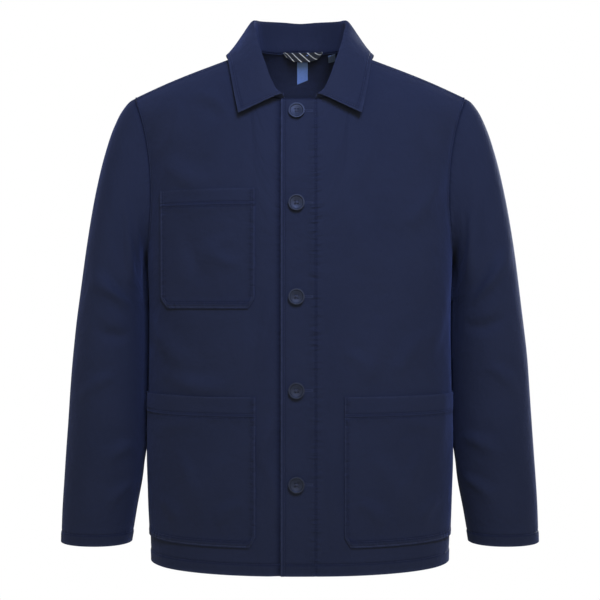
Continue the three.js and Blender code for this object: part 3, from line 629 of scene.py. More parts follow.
def make_cloth(name, sheet, wall, material):
    """The sheet as a mesh with its flat coordinates and marks, given a wall towards the inside."""
    rows, columns = sheet.points.shape[:2]
    index = np.arange(rows * columns).reshape(rows, columns)
    corners = [index[:-1, :-1], index[:-1, 1:], index[1:, 1:], index[1:, :-1]]
    if sheet.outward < 0:
        corners.reverse()
    faces = np.stack(corners, axis=-1).reshape(-1, 4)
    mesh = bpy.data.meshes.new(name)
    mesh.from_pydata(sheet.points.reshape(-1, 3), [], faces.tolist())
    u, v = sheet.grids()
    flat = np.stack([u, v], axis=-1).reshape(-1, 2)[faces.reshape(-1)]
    mesh.uv_layers.new(name="cloth").data.foreach_set("uv", flat.ravel())
    for key, amount in sheet.marks.items():
        mesh.attributes.new(key, "FLOAT", "POINT").data.foreach_set("value", amount.ravel())
    if sheet.tube:
        bm = bmesh.new()
        bm.from_mesh(mesh)
        bmesh.ops.remove_doubles(bm, verts=bm.verts[:], dist=WELD)
        bm.to_mesh(mesh)
        bm.free()
    cloth = linked(name, mesh)
    mesh.materials.append(material)
    bpy.ops.object.select_all(action="DESELECT")
    bpy.context.view_layer.objects.active = cloth
    cloth.select_set(True)
    solidify = cloth.modifiers.new("wall", "SOLIDIFY")
    solidify.thickness = wall
    solidify.offset = -1
    bpy.ops.object.modifier_apply(modifier="wall")
    bpy.ops.object.shade_smooth_by_angle(angle=SMOOTH_ANGLE)
    cloth.select_set(False)
    return cloth


def sew(name, sheet, paths, material, pitch=STITCH_PITCH, length=STITCH_LENGTH):
    """Rows of stitches on a sheet, joined in one mesh. A path is a list of places u, v in the flat."""
    ring = np.array([(-1, 0.0), (0, 1.0), (1, 0.0), (0, -0.5)])
    sizes = np.array([STITCH_TAPER, 1.0, STITCH_TAPER])
    verts = []
    for path in paths:
        corners = np.array(path, dtype=float)
        reach = running(np.linalg.norm(np.diff(corners, axis=0), axis=1))
        fine = np.linspace(0, reach[-1], max(int(reach[-1] / MM), 2))
        u, v = (np.interp(fine, reach, corners[:, k]) for k in (0, 1))
        points, normals = sheet.at(u, v)
        walked = running(np.linalg.norm(np.diff(points, axis=0), axis=1))
        middles = np.arange(0.5, walked[-1] / pitch) * pitch
        marks = middles[:, None] + np.array([-0.5, 0.0, 0.5]) * length
        spot = np.stack([np.interp(marks, walked, points[:, k]) for k in range(3)], axis=-1)
        up = np.stack([np.interp(marks, walked, normals[:, k]) for k in range(3)], axis=-1)
        along = spot[:, 2:] - spot[:, :1]
        side = np.cross(np.repeat(along, 3, axis=1), up)
        side /= np.linalg.norm(side, axis=2, keepdims=True)
        wide = ring[:, 0] * STITCH_HALF_WIDTH * sizes[:, None]
        high = ring[:, 1] * STITCH_HEIGHT * sizes[:, None]
        spots = spot[:, :, None] + side[:, :, None] * wide[..., None] + up[:, :, None] * high[..., None]
        verts.append(spots.reshape(-1, 3))
    verts = np.concatenate(verts)
    rings = [[k + r * 4, k + (r + 1) * 4, (k + 1) % 4 + (r + 1) * 4, (k + 1) % 4 + r * 4]
             for r in range(2) for k in range(4)]
    one = np.array(rings + [[0, 1, 2, 3], [11, 10, 9, 8]])
    faces = (one[None] + np.arange(len(verts) // 12)[:, None, None] * 12).reshape(-1, 4)
    mesh = bpy.data.meshes.new(name)
    mesh.from_pydata(verts, [], faces.tolist())
    bm = bmesh.new()
    bm.from_mesh(mesh)
    bmesh.ops.recalc_face_normals(bm, faces=bm.faces[:])
    bm.to_mesh(mesh)
    bm.free()
    mesh.materials.append(material)
    stitches = linked(name, mesh)
    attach(stitches, "root")
    return stitches


def raise_neck(sheet, from_seam):
    """Brings the neck seam to an even curve at the back, fading away from it."""
    x, y = np.abs(sheet.points[..., 0]) / MM, sheet.points[..., 1] / MM
    rise = np.interp(x, *zip(*NECK_RAISE)) * MM
    at_back = np.clip((y - NECK_BACK_Y) / NECK_BACK_FADE, 0, 1)
    sheet.points[..., 2] += rise * at_back * near(from_seam, NECK_FADE)


twill_cloth = twill("navy twill")
navy_thread = thread("navy thread", THREAD_NAVY, NAVY)

back = sheet_of("back", BACK_STEP, BACK_START, (0.3, 1, 0), smooth=BACK_SMOOTH,
                lines_across=(ROW_FAR, -ROW_FAR), lines_up=(HEM_STITCH,))
u, v = back.grids()
raise_neck(back, back.length - v)
x_mm, z_mm = back.points[..., 0] / MM, back.points[..., 2] / MM
facing_back = np.clip(back.normals()[..., 1] * 2, 0, 1)
height = folds(x_mm, z_mm, BACK_FOLDS) * facing_back + drift(x_mm, z_mm, BACK_DRIFT, 1) * facing_back
top_x = np.abs(back.points[-1, :, 0])
on_shoulder = (top_x > NECK_CORNER)[None, :]
from_seam = back.length - v
from_side = np.minimum(u, back.width - u)
above_arm = np.clip((v - back.v_at_z(UNDERARM_Z, 0)) / SEAM_TURN, 0, 1)
height += turned_hem(v)
height += stitched_seam(from_side) * above_arm
height += seam_roll(from_side) + seam_roll(from_seam)
back.lift(height)
back.mark("pucker_across", 0.3 * near(v - HEM_STITCH, HEM_PUCKER)
          + 0.3 * near(from_seam, ROW_PUCKER) * on_shoulder)
back.mark("pucker_up", 0.4 * near(from_side - ROW_FAR, ROW_PUCKER) * above_arm + 0.2 * near(from_side, 5))
# Paler hem edge: wear and a painted highlight
back.mark("wear_and_highlight", near(v, EDGE_WEAR_AND_HIGHLIGHT))
# Painted shade in the hem row, the shoulder seam, the side rows and the side seam
back.mark("painted_shade", near(v - HEM_STITCH, ROW_PAINTED_SHADE))
back.mark("painted_shade", near(from_seam, 1.0) * on_shoulder)
back.mark("painted_shade", near(from_side - ROW_FAR, ROW_PAINTED_SHADE) * above_arm)
back.mark("painted_shade", near(from_side, SEAM_PAINTED_SHADE))
back_piece = make_cloth("back_cloth", back, CLOTH_WALL, twill_cloth)
arm_v = back.v_at_z(UNDERARM_Z, 0)
back_paths = [[(0, HEM_STITCH), (back.width, HEM_STITCH)]]
for row in (ROW_NEAR, ROW_FAR):
    back_paths.append([(row, arm_v), (row, back.length)])
    back_paths.append([(back.width - row, arm_v), (back.width - row, back.length)])
back_stitches = sew("back_stitches", back, back_paths, navy_thread)
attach(back_piece, "root")
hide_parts("back")
back.cut()
back.area()

# Fronts
# Two pieces of the same twill, with a facing turned to the inside along each middle edge. The left one
# has the buttonholes and laps over the right one. Both are sewn to the back and folded up at the hem.
FRONT_STEP = 3.0 * MM
LAP_EDGE = 25 * MM
PLACKET_ROW = 5 * MM
FACING_X = 20.5 * MM
UNDER_LAP_X = -26.5 * MM
LEFT_START = (-0.025, -0.13, -0.692)
RIGHT_START = (0.022, -0.13, -0.692)
SEAM_FADE = 28 * MM
FRONT_SMOOTH = 10
FRONT_DRIFT = 0.7
LAP_FLAT = 6 * MM
LAP_FADE = 30 * MM
NECK_TURN = 6 * MM
PLACKET_HIGH = 0.4
# Half width of the painted shadow along the lap edge, in millimetres
LAP_SHADOW_WIDE = 3.2
SEAM_REACH = 3 * MM
SEAM_READS = 12
SEAM_PULL = 6
LEFT_FOLDS = [
    (188, -150, 120, -250, 16, 12, 1.3),
    (194, -300, 150, -430, 12, 12, 1.6),
    (92, -110, 60, -200, 8, 12, 0.9),
    (60, -180, 116, -330, -10, 17, 1.0),
    (104, -352, 74, -462, 10, 15, 1.2),
    (168, -372, 122, -458, -8, 12, 1.4),
    (48, -400, 96, -440, 6, 9, 0.8),
    (40, -500, 34, -640, 4, 8, 0.9),
    (150, -70, 176, -150, -9, 10, 1.0),
    (186, -440, 176, -560, 6, 9, 1.0),
]
RIGHT_FOLDS = [
    (-186, -140, -110, -190, -12, 12, 1.3),
    (-90, -96, -150, -60, -8, 9, 1.2),
    (-60, -80, -120, -160, -14, 13, 1.1),
    (-196, -350, -140, -430, -10, 12, 1.5),
    (-66, -352, -96, -460, 10, 14, 1.2),
    (-190, -430, -70, -446, -12, 11, 1.3),
    (-34, -330, -50, -440, -4, 8, 0.9),
    (-28, -480, -52, -560, -6, 9, 1.2),
    (-44, -540, -30, -640, 5, 9, 1.1),
    (-160, -70, -188, -150, 9, 10, 1.0),
]


def meet_seam(sheet, from_edge, line):
    """Brings the last row of a sheet against the edge that it is sewn to, fading away from it."""
    knots = np.arange(len(line))
    fine = np.linspace(0, knots[-1], len(line) * SEAM_READS)
    edge = np.stack([np.interp(fine, knots, line[:, k]) for k in range(3)], axis=-1)
    gaps = edge[None] - sheet.points[-1][:, None]
    away = np.linalg.norm(gaps, axis=2)
    nearest = away.argmin(axis=1)
    pull = gaps[np.arange(len(nearest)), nearest]
    share = np.clip(2 - away.min(axis=1) / SEAM_REACH, 0, 1)
    sheet.points = sheet.points + (pull * share[:, None])[None] * near(from_edge, SEAM_PULL)[..., None]


def front_sheet(name, start, along, table, seed, under):
    """A front with its folds, turned edges and rows of stitches.
    The one that lies under gets a painted shadow along the edge of the lap."""
    facing_u = abs(start[0]) + FACING_X
    front = sheet_of(name, FRONT_STEP, start, along, smooth=FRONT_SMOOTH, lines_up=(HEM_STITCH, -ROW_FAR),
                     lines_across=(0, PLACKET_ROW, facing_u, -ROW_FAR))
    u, v = front.grids()
    x_mm, z_mm = front.points[..., 0] / MM, front.points[..., 2] / MM
    facing_front = np.clip(-front.normals()[..., 1] * 2, 0, 1)
    from_lap = u
    from_top = front.length - v
    off_lap = np.clip((from_lap - LAP_FLAT) / LAP_FADE, 0, 1)
    off_seam = np.clip(from_top / SEAM_FADE, 0, 1)
    height = folds(x_mm, z_mm, table) + drift(x_mm, z_mm, FRONT_DRIFT, seed) * off_lap
    height = height * facing_front * off_seam
    above_arm = np.clip((v - front.v_at_z(UNDERARM_Z, -1)) / SEAM_TURN, 0, 1)
    from_side = front.width - u
    from_facing = (np.abs(front.points[..., 0]) - FACING_X) * np.sign(front.points[..., 0] * along[0])
    height += turned_hem(v)
    height += step_band(from_lap, PLACKET_ROW, PLACKET_HIGH)
    height += stitch_groove(from_lap - PLACKET_ROW, PLACKET_HIGH)
    height += stitch_groove(np.where(from_lap > LAP_EDGE, from_facing, 1), 0.7)
    height += stitched_seam(from_side) * above_arm
    on_shoulder = np.clip((np.abs(front.points[-1:, :, 0]) - NECK_CORNER) / NECK_TURN, 0, 1)
    height += stitched_seam(from_top) * on_shoulder
    height += seam_roll(from_side) + seam_roll(from_top)
    front.lift(height)
    meet_seam(front, from_top, back.points[-1])
    facing_mark = np.where(from_lap > LAP_EDGE, near(from_facing, HEM_PUCKER), 0)
    front.mark("pucker_up", 0.45 * near(from_side - ROW_FAR, ROW_PUCKER) * above_arm)
    front.mark("pucker_across", 0.3 * near(v - HEM_STITCH, HEM_PUCKER))
    front.mark("pucker_up", 0.9 * facing_mark)
    # Paler hem and lap edges: wear and a painted highlight
    front.mark("wear_and_highlight", np.maximum(near(v, EDGE_WEAR_AND_HIGHLIGHT), near(from_lap, 2.0)))
    # Painted shade in the rows of stitches and along the seams
    facing_shade = np.where(from_lap > LAP_EDGE, near(from_facing, ROW_PAINTED_SHADE), 0)
    front.mark("painted_shade", np.maximum(near(v - HEM_STITCH, ROW_PAINTED_SHADE), facing_shade))
    front.mark("painted_shade", near(from_side - ROW_FAR, ROW_PAINTED_SHADE) * above_arm)
    front.mark("painted_shade", near(from_side, SEAM_PAINTED_SHADE))
    front.mark("painted_shade", 0.8 * near(from_lap - PLACKET_ROW, SEAM_PAINTED_SHADE))
    front.mark("painted_shade", np.maximum(near(from_top - ROW_FAR, 1.5) * on_shoulder, near(from_top, SEAM_PAINTED_SHADE)))
    # A paler ridge beside the shoulder seam: wear and a painted highlight
    front.mark("wear_and_highlight", near(from_top - ROW_NEAR * 1.6, 2.0) * on_shoulder)
    front.mark("pucker_across", 0.6 * near(from_top - ROW_NEAR * 2, ROW_PUCKER) * on_shoulder)
    if under:
        # A painted shadow along where the left front's lap edge lies over this front
        front.mark("painted_shade", 0.9 * near(front.points[..., 0] - UNDER_LAP_X, LAP_SHADOW_WIDE))
    return front


def front_paths(front, with_placket):
    """The rows of stitches on a front."""
    arm_v = front.v_at_z(UNDERARM_Z, -1)
    paths = [[(0, HEM_STITCH), (front.width, HEM_STITCH)]]
    for row in (ROW_NEAR, ROW_FAR):
        paths.append([(front.width - row, arm_v), (front.width - row, front.length)])
    corner = front.u[np.abs(front.points[-1, :, 0]) > NECK_CORNER][0]
    for row in (ROW_NEAR, ROW_FAR):
        paths.append([(corner, front.length - row), (front.width - row, front.length - row)])
    if with_placket:
        paths.append([(PLACKET_ROW, 0), (PLACKET_ROW, front.length)])
    side = 1 if with_placket else -1
    paths.append(list(zip(front.us_at_x(side * FACING_X), front.v)))
    return paths


front_left = front_sheet("front_left", LEFT_START, (1, 0, 0), LEFT_FOLDS, 2, under=False)
front_right = front_sheet("front_right", RIGHT_START, (-1, 0, 0), RIGHT_FOLDS, 3, under=True)
for front, node in ((front_left, "front_left"), (front_right, "front_right")):
    piece = make_cloth(node + "_cloth", front, CLOTH_WALL, twill_cloth)
    stitches = sew(node + "_stitches", front, front_paths(front, node == "front_left"), navy_thread)
    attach(piece, "root")
    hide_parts(node)
    front.cut()
    front.area()

# Patch pockets
# Each is one piece of twill with its top turned in and stitched across, the other edges turned under and
# sewn to the front with two rows. The lower corners are cut off. The large ones end in the side seam.
POCKET_WALL = 1.1 * MM
POCKET_STEP = 2.2 * MM
POCKET_SEAT = 1.35 * MM
CORNER = 14 * MM
SEAM_GAP = 0.6 * MM
HEM_ROWS_APART = 4.8 * MM
HEM_ROW_WIDE = 1.3
END_LINE = 0.1 * MM
POCKET_DRIFT = 0.4
POCKET_HIGH = 0.6
POCKET_FLAT = 14 * MM
POCKET_SWELL = 1.3 * MM
SLACK_REACH = 34
SLACK_HIGH = 1.7 * MM
POCKET_MIDDLE_ROW = 6 * MM
FOOT_SHARE = 0.7
CHEST = {"inner": 58 * MM, "outer": 184 * MM, "top": -193 * MM, "bottom": -348 * MM, "hem": 22 * MM}
LOWER = {"inner": 57 * MM, "outer": None, "top": -462 * MM, "bottom": -656 * MM, "hem": 27 * MM}
CHEST_FOLDS = [
    (30, 96, 86, 40, 10, 11, 1.0),
    (20, 60, 70, 78, -8, 9, 0.9),
    (96, 100, 60, 24, 8, 12, -0.8),
    (50, 128, 110, 120, 4, 9, 0.7),
]
LOWER_FOLDS = [
    (30, 130, 86, 20, 14, 13, 1.1),
    (120, 130, 96, 40, -10, 12, 1.2),
    (60, 160, 160, 142, 5, 10, 0.8),
    (20, 60, 60, 24, 6, 9, 1.0),
    (150, 60, 110, 20, -6, 10, 0.9),
]


def pocket_sheet(front, size, side, table, seed):
    """A patch on a front: its rows follow the front's cloth from the inner edge to the outer one."""
    high = size["top"] - size["bottom"]
    rises = steps(high, POCKET_STEP, (0, ROW_FAR, -size["hem"], HEM_ROWS_APART - size["hem"], -END_LINE))
    inner = front.us_at_x(side * size["inner"])
    outer = np.full(len(inner), front.width - SEAM_GAP)
    if size["outer"]:
        outer = front.us_at_x(side * size["outer"])
    whole = float((outer - inner).mean())
    lines = (0, ROW_FAR, -ROW_FAR, -END_LINE) if size["outer"] else (0, ROW_FAR)
    share = steps(whole, POCKET_STEP, lines) / whole
    level_u, level_v = front.level(inner, outer, share, size["bottom"] + rises)
    cuts = np.clip(CORNER - rises, 0, None) / whole
    kept = cuts[:, None] + (1 - cuts[:, None] * (2 if size["outer"] else 1)) * share
    u = np.array([np.interp(places, share, row) for places, row in zip(kept, level_u)])
    v = np.array([np.interp(places, share, row) for places, row in zip(kept, level_v)])
    points, normals = front.at(u, v)
    pocket = Sheet(points, share * whole, rises, front.outward)
    across, up = pocket.grids()
    from_inner = across
    from_outer = whole - across if size["outer"] else np.full_like(across, 1.0)
    from_top = high - up
    slack = np.sin(np.clip(across / whole, 0, 1) * math.pi) * near(from_top, SLACK_REACH) * SLACK_HIGH
    swell = np.sin(np.clip(across / whole, 0, 1) * math.pi) * np.sin(np.clip(up / high, 0, 1) * math.pi)
    from_edge = np.minimum(np.minimum(from_inner, from_outer), up)
    height = POCKET_SEAT + slack + swell * POCKET_SWELL
    loose = folds(across / MM, up / MM, table) + drift(across / MM, up / MM, POCKET_DRIFT, seed)
    height += loose * np.clip(from_edge / POCKET_FLAT, 0, 1)
    height += step_band(from_edge, ROW_FAR + 1.5 * MM, POCKET_HIGH)
    height += step_band(from_top, size["hem"], POCKET_HIGH)
    height += stitch_groove(from_edge - ROW_FAR, 0.6) + stitch_groove(from_edge - ROW_NEAR, 0.3, 1.2)
    hem_rows = near(from_top - size["hem"], HEM_ROW_WIDE)
    hem_rows = hem_rows + near(from_top - size["hem"] + HEM_ROWS_APART, HEM_ROW_WIDE)
    height -= hem_rows * 0.5 * MM
    pocket.points = points + normals * height[..., None]
    pocket.mark("pucker_up", 0.8 * near(from_inner - POCKET_MIDDLE_ROW, ROW_PUCKER)
                + 0.5 * near(from_outer - POCKET_MIDDLE_ROW, ROW_PUCKER))
    pocket.mark("pucker_across", 0.5 * near(up - POCKET_MIDDLE_ROW, ROW_PUCKER)
                + 0.35 * near(from_top - size["hem"], 5))
    # Paler edges and top: wear and a painted highlight
    pocket.mark("wear_and_highlight", 0.7 * np.maximum(near(from_edge - 1.2 * MM, 1.3), near(from_top, 1.6)))
    # Painted shade along the rows of stitches, at the edges and in the hem rows
    pocket.mark("painted_shade", np.maximum(near(from_edge - ROW_FAR, 1.5), near(from_edge, 0.7)))
    pocket.mark("painted_shade", hem_rows)
    return pocket


def pocket_paths(pocket, size):
    """The rows of stitches on a pocket, which turn at its cut corners."""
    wide, high = pocket.width, pocket.length
    paths = []
    for inset in (high - size["hem"], high - size["hem"] + HEM_ROWS_APART):
        paths.append([(ROW_NEAR, inset), (wide - ROW_NEAR * bool(size["outer"]), inset)])
    for row in (ROW_NEAR, ROW_FAR):
        bend = CORNER + row * (math.sqrt(2) - 1)
        whole = wide - 2 * CORNER if size["outer"] else wide - CORNER
        foot = max((bend - CORNER) * wide / whole, row * FOOT_SHARE)
        path = [(row, high), (row, bend), (foot, row)]
        if size["outer"]:
            path += [(wide - foot, row), (wide - row, bend), (wide - row, high)]
        else:
            path += [(wide, row)]
        paths.append(path)
    return paths


POCKETS = [
    # node, front that it is sewn to, size, side of the body, folds, seed of its drift
    ("pocket_chest", front_right, CHEST, -1, CHEST_FOLDS, 4),
    ("pocket_lower_right", front_right, LOWER, -1, LOWER_FOLDS, 5),
    ("pocket_lower_left", front_left, LOWER, 1, LOWER_FOLDS, 6),
]
for node, front, size, side, table, seed in POCKETS:
    pocket = pocket_sheet(front, size, side, table, seed)
    piece = make_cloth(node + "_cloth", pocket, POCKET_WALL, twill_cloth)
    stitches = sew(node + "_stitches", pocket, pocket_paths(pocket, size), navy_thread)
    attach(piece, "root")
    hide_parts(node)
    pocket.cut()
    pocket.area()
    "front_right_cloth" if side < 0 else "front_left_cloth"

# Sleeves
# Each is one piece of twill joined under the arm, eased into the armhole at the top, with its cuff
# turned up and stitched. Folds gather at the elbow and under the arm.
SLEEVE_STEP = 3.4 * MM
SLEEVE_START = (0.2335, 0, -0.67)
ARMHOLE_LINE = 4 * MM
SLEEVE_DRIFT = 0.7
SLEEVE_ROUND = 50
CAP_FADE = 30 * MM
CAP_ROLL = 1.0
CAP_ROLL_WIDE = 3
CAP_PUCKER = 9
# Folds of the left sleeve (1) and of the right one (-1), written like those of the back, but by distance
# round and up the sleeve
SLEEVE_FOLDS = {
    1: [
        (60, 330, 150, 372, 14, 10, 2.0),
        (40, 300, 120, 318, -10, 9, -1.5),
        (200, 352, 285, 330, 12, 10, 1.6),
        (74, 250, 128, 200, 8, 9, 1.3),
        (90, 470, 60, 380, -8, 12, 1.7),
        (250, 440, 230, 300, 8, 12, 1.5),
        (30, 150, 96, 120, 8, 9, 1.5),
        (26, 96, 84, 60, 6, 8, 1.3),
        (228, 200, 260, 90, -8, 11, 1.4),
    ],
    -1: [
        (50, 322, 140, 352, 12, 10, 2.0),
        (46, 290, 118, 302, -9, 9, -1.4),
        (208, 340, 290, 322, 12, 10, 1.5),
        (70, 236, 132, 190, 9, 9, 1.4),
        (86, 462, 58, 372, -8, 12, 1.8),
        (246, 436, 236, 290, 9, 12, 1.4),
        (34, 140, 90, 112, 7, 9, 1.6),
        (30, 88, 80, 52, 6, 8, 1.2),
        (232, 190, 258, 84, -8, 11, 1.5),
    ],
}
INNER_HALF_X = 255 * MM
REST_GAP = 2.4 * MM
REST_REACH = 28 * MM
REST_Y = [(-14, 0), (2, 1), (38, 1), (62, 0)]
REST_Z = [(-566, 0), (-520, 1), (-274, 1), (-256, 0)]


def rest_on_body(sleeve, side):
    """Lets the inner side of a hanging sleeve lie against the side of the body."""
    bm = bmesh.new()
    for name in ("back_cloth", "front_left_cloth" if side > 0 else "front_right_cloth"):
        bm.from_mesh(bpy.data.objects[name].data)
    body = BVHTree.FromBMesh(bm)
    bm.free()
    points = sleeve.points.copy()
    share = np.interp(points[..., 1] / MM, *zip(*REST_Y)) * np.interp(points[..., 2] / MM, *zip(*REST_Z))
    share = eased(share)
    share[np.abs(points[..., 0]) > INNER_HALF_X] = 0
    for row, column in np.argwhere(share > 0):
        start = points[row, column]
        distance = body.ray_cast(Vector(start), Vector((-side, 0, 0)), REST_REACH)[3]
        if distance:
            points[row, column, 0] -= side * max(distance - REST_GAP, 0) * share[row, column]
    sleeve.points = points


for node, side, seed in (("sleeve_left", 1, 7), ("sleeve_right", -1, 8)):
    corner = (side * SLEEVE_START[0], SLEEVE_START[1], SLEEVE_START[2])
    sleeve = sheet_of(node, SLEEVE_STEP, corner, (0, -1, 0), lines_up=(HEM_STITCH, -ARMHOLE_LINE))
    rest_on_body(sleeve, side)
    u, v = sleeve.grids()
    from_armhole = sleeve.length - v
    height = folds(u / MM, v / MM, SLEEVE_FOLDS[side])
    height += drift(np.cos(u / sleeve.width * 2 * math.pi) * SLEEVE_ROUND, v / MM, SLEEVE_DRIFT, seed)
    height *= np.clip(from_armhole / CAP_FADE, 0, 1)
    height += turned_hem(v)
    height += seam_roll(from_armhole, CAP_ROLL, CAP_ROLL_WIDE)
    sleeve.lift(height)
    sleeve.mark("pucker_up", 0.35 * near(np.minimum(u, sleeve.width - u), ROW_PUCKER))
    sleeve.mark("pucker_across", 0.35 * near(v - HEM_STITCH, HEM_PUCKER)
                + 0.5 * near(from_armhole, CAP_PUCKER))
    # Paler cuff edge: wear and a painted highlight
    sleeve.mark("wear_and_highlight", near(v, EDGE_WEAR_AND_HIGHLIGHT))
    # Painted shade in the cuff row and at the armhole seam
    sleeve.mark("painted_shade", np.maximum(near(v - HEM_STITCH, ROW_PAINTED_SHADE), near(from_armhole, 2.0)))
    piece = make_cloth(node + "_cloth", sleeve, CLOTH_WALL, twill_cloth)
    cuff_row = [[(0, HEM_STITCH), (sleeve.width, HEM_STITCH)]]
    stitches = sew(node + "_stitches", sleeve, cuff_row, navy_thread)
    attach(piece, "root")
    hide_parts(node)
    sleeve.cut()
    sleeve.area()

# Collar
# Two layers of twill with a stiffener between them, turned out and stitched near the edge. It stands up
# from the neck seam and folds over into a leaf with two points. A row holds it just under the fold.
COLLAR_WALL = 1.5 * MM
COLLAR_STEP = 2.4 * MM
COLLAR_ROW = 5.5 * MM
COLLAR_SMOOTH = 4
COLLAR_DRIFT = 0.5
COLLAR_GROOVE = (0.35, 1.4)
COLLAR_FADE = 20 * MM
COLLAR_PUCKER = 5
COLLAR_TURN = math.radians(61)
COLLAR_START = (-0.02, -0.097, -0.072)
FOLD_ROW = 4.5 * MM
FOLD_SHARES = (0.27, 0.73)
collar = sheet_of("collar", COLLAR_STEP, COLLAR_START, (-1, 1, 0.3), wall=0, turn=COLLAR_TURN,
                  smooth=COLLAR_SMOOTH)
u, v = collar.grids()
raise_neck(collar, v)
reach_up = np.linalg.norm(np.diff(collar.points, axis=0), axis=2).sum(axis=0)
reach_across = np.linalg.norm(np.diff(collar.points, axis=1), axis=2).sum(axis=1)
from_leaf_edge = (collar.length - v) * reach_up / collar.length
from_ends = np.minimum(u, collar.width - u) * reach_across[:, None] / collar.width
from_edge = np.minimum(from_leaf_edge, from_ends)
height = drift(u / MM, v / MM, COLLAR_DRIFT, 9) + stitch_groove(from_edge - COLLAR_ROW, *COLLAR_GROOVE)
collar.lift(height * np.clip(v / COLLAR_FADE, 0, 1))
collar.mark("pucker_up", 0.25 * near(from_ends - COLLAR_ROW, COLLAR_PUCKER))
collar.mark("pucker_across", 0.3 * near(from_leaf_edge - COLLAR_ROW, COLLAR_PUCKER))
# Paler edges: wear and a painted highlight
collar.mark("wear_and_highlight", 0.6 * near(from_edge, 1.8))
# Painted shade in the edge row and at the neck seam
collar.mark("painted_shade", 0.8 * near(from_edge - COLLAR_ROW, 1.3))
collar.mark("painted_shade", near(v, 2.0))
collar_piece = make_cloth("collar_cloth", collar, COLLAR_WALL, twill_cloth)
leaf_row = collar.length - COLLAR_ROW * collar.length / reach_up
end_row = COLLAR_ROW * collar.width / reach_across
fold_v = collar.v[collar.points[..., 2].argmax(axis=0)]
leaf_columns = np.flatnonzero((collar.u > end_row[-1]) & (collar.u < collar.width - end_row[-1]))
leaf_rows = np.flatnonzero((collar.v > fold_v.mean()) & (collar.v < collar.length - COLLAR_ROW))
fold_columns = np.flatnonzero((collar.u > collar.width * FOLD_SHARES[0])
                              & (collar.u < collar.width * FOLD_SHARES[1]))
collar_paths = [
    [(collar.u[k], fold_v[k] - FOLD_ROW) for k in fold_columns],
    [(collar.u[k], leaf_row[k]) for k in leaf_columns],
    [(end_row[k], collar.v[k]) for k in leaf_rows],
    [(collar.width - end_row[k], collar.v[k]) for k in leaf_rows],
]
collar_stitches = sew("collar_stitches", collar, collar_paths, navy_thread)
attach(collar_piece, "root")
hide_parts("collar")
collar.cut()
collar.area()

# Hanger loop and tabs
# A loop of narrow woven tape with slanting pale stripes hangs in the back neck, its ends caught in the
# seam. A blue woven tab hangs behind it and a small pale one beside it. Both are blank.
TAPE_STEP = 0.9 * MM
TAPE_SOLID = 1.0 * MM
TAPE_WALL = 0.6 * MM
LOOP_TOP_Z = 18 * MM
LOOP_DROP = 11 * MM
LOOP_END = 1.2 * MM
LOOP_SQUARENESS = 3.2
LOOP_FORWARD = 3.4 * MM
LOOP_LEAN = 0.45
STRIPE_PITCH = 12.4 * MM
STRIPE_SLANT = 1.45
TAPE_RIB = 0.6 * MM
TAPE_FLECK = 420.0
TAPE_RELIEF = 0.2 * MM
# From the middle of a stripe to its edge, sharp and blurred, as shares of their distance apart
STRIPE_HALF = 0.06
STRIPE_BLUR = 0.1
SEAM_HALF = 50 * MM
TAB_RAISE = 5 * MM
TAB_SLANT = 2 * MM


def woven(name, high, low, stripe):
    """Fine ribbed tape. Its stripes, if it has any, slant down to the right."""
    material, shader, shade = plain_material(name, 0.72, 0.1, (0.7, 0.8, 1.0, 1), 0.25)
    flat, u, v = shade.cloth_place()
    turn = 2 * math.pi / TAPE_RIB
    rib = (u * turn).sine() * 0.5 + (v * turn * 1.3).sine() * 0.3 + 0.5
    fleck = shade.noise(flat, TAPE_FLECK, 2.0, 0.6)
    colour = shade.blend((rib * 0.5 + fleck * 0.7 - 0.1).between(0.0, 1.0), low, high)
    if stripe:
        place = shade.maths("FRACT", u * (1 / STRIPE_PITCH) + v * (STRIPE_SLANT / STRIPE_PITCH))
        off = shade.maths("ABSOLUTE", place - 0.5)
        colour = shade.blend(off.between(STRIPE_HALF, STRIPE_BLUR, 1.0, 0.0), colour, stripe)
    shade.put(shader.inputs["Base Color"], colour)
    shade.put(shader.inputs["Roughness"], 0.78 - rib * 0.12)
    shade.put(shader.inputs["Normal"], shade.relief(rib * 0.6 + fleck * 0.4, TAPE_RELIEF))
    return material


STRIPE_PALE = (0.36, 0.34, 0.24, 1)
TAPES = [
    # node, lower left corner, colours of the raised and the lower yarn, and of the stripes
    ("hanger_loop", (-0.026, 0.055, 0.0), (0.012, 0.012, 0.008, 1), (0.005, 0.005, 0.004, 1), STRIPE_PALE),
    ("neck_label", (-0.004, 0.09, -0.03), (0.11, 0.17, 0.29, 1), (0.065, 0.108, 0.2, 1), None),
    ("size_label", (0.04, 0.07, -0.004), (0.12, 0.17, 0.24, 1), (0.07, 0.1, 0.15, 1), None),
]
seam = back.points[-1][np.abs(back.points[-1, :, 0]) < SEAM_HALF]
seam = seam[seam[:, 0].argsort()]
for node, corner, high, low, stripe in TAPES:
    tape = sheet_of(node, TAPE_STEP, corner, (1, 0, 0), wall=TAPE_SOLID, facing=(0, -1, 0))
    across, up = (part / part.max() for part in tape.grids())
    if node == "hanger_loop":
        drop = LOOP_DROP * (1 - np.abs(2 * across - 1) ** LOOP_SQUARENESS) + LOOP_END
        tape.points[..., 2] = LOOP_TOP_Z - drop * (1 - up)
        tape.points[..., 1] = np.interp(tape.points[..., 0], seam[:, 0], seam[:, 1]) - LOOP_FORWARD
        tape.points[..., 1] += (LOOP_TOP_Z - tape.points[..., 2]) * LOOP_LEAN
        tape.v = tape.v * (LOOP_DROP / tape.length)
    else:
        tape.points[..., 2] += TAB_RAISE * (1 - up) + TAB_SLANT * across * (1 - up)
    tape_piece = make_cloth(node + "_woven", tape, TAPE_WALL, woven(node + " weave", high, low, stripe))
    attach(tape_piece, "root")
    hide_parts(node)
    tape.cut()
    tape.area()

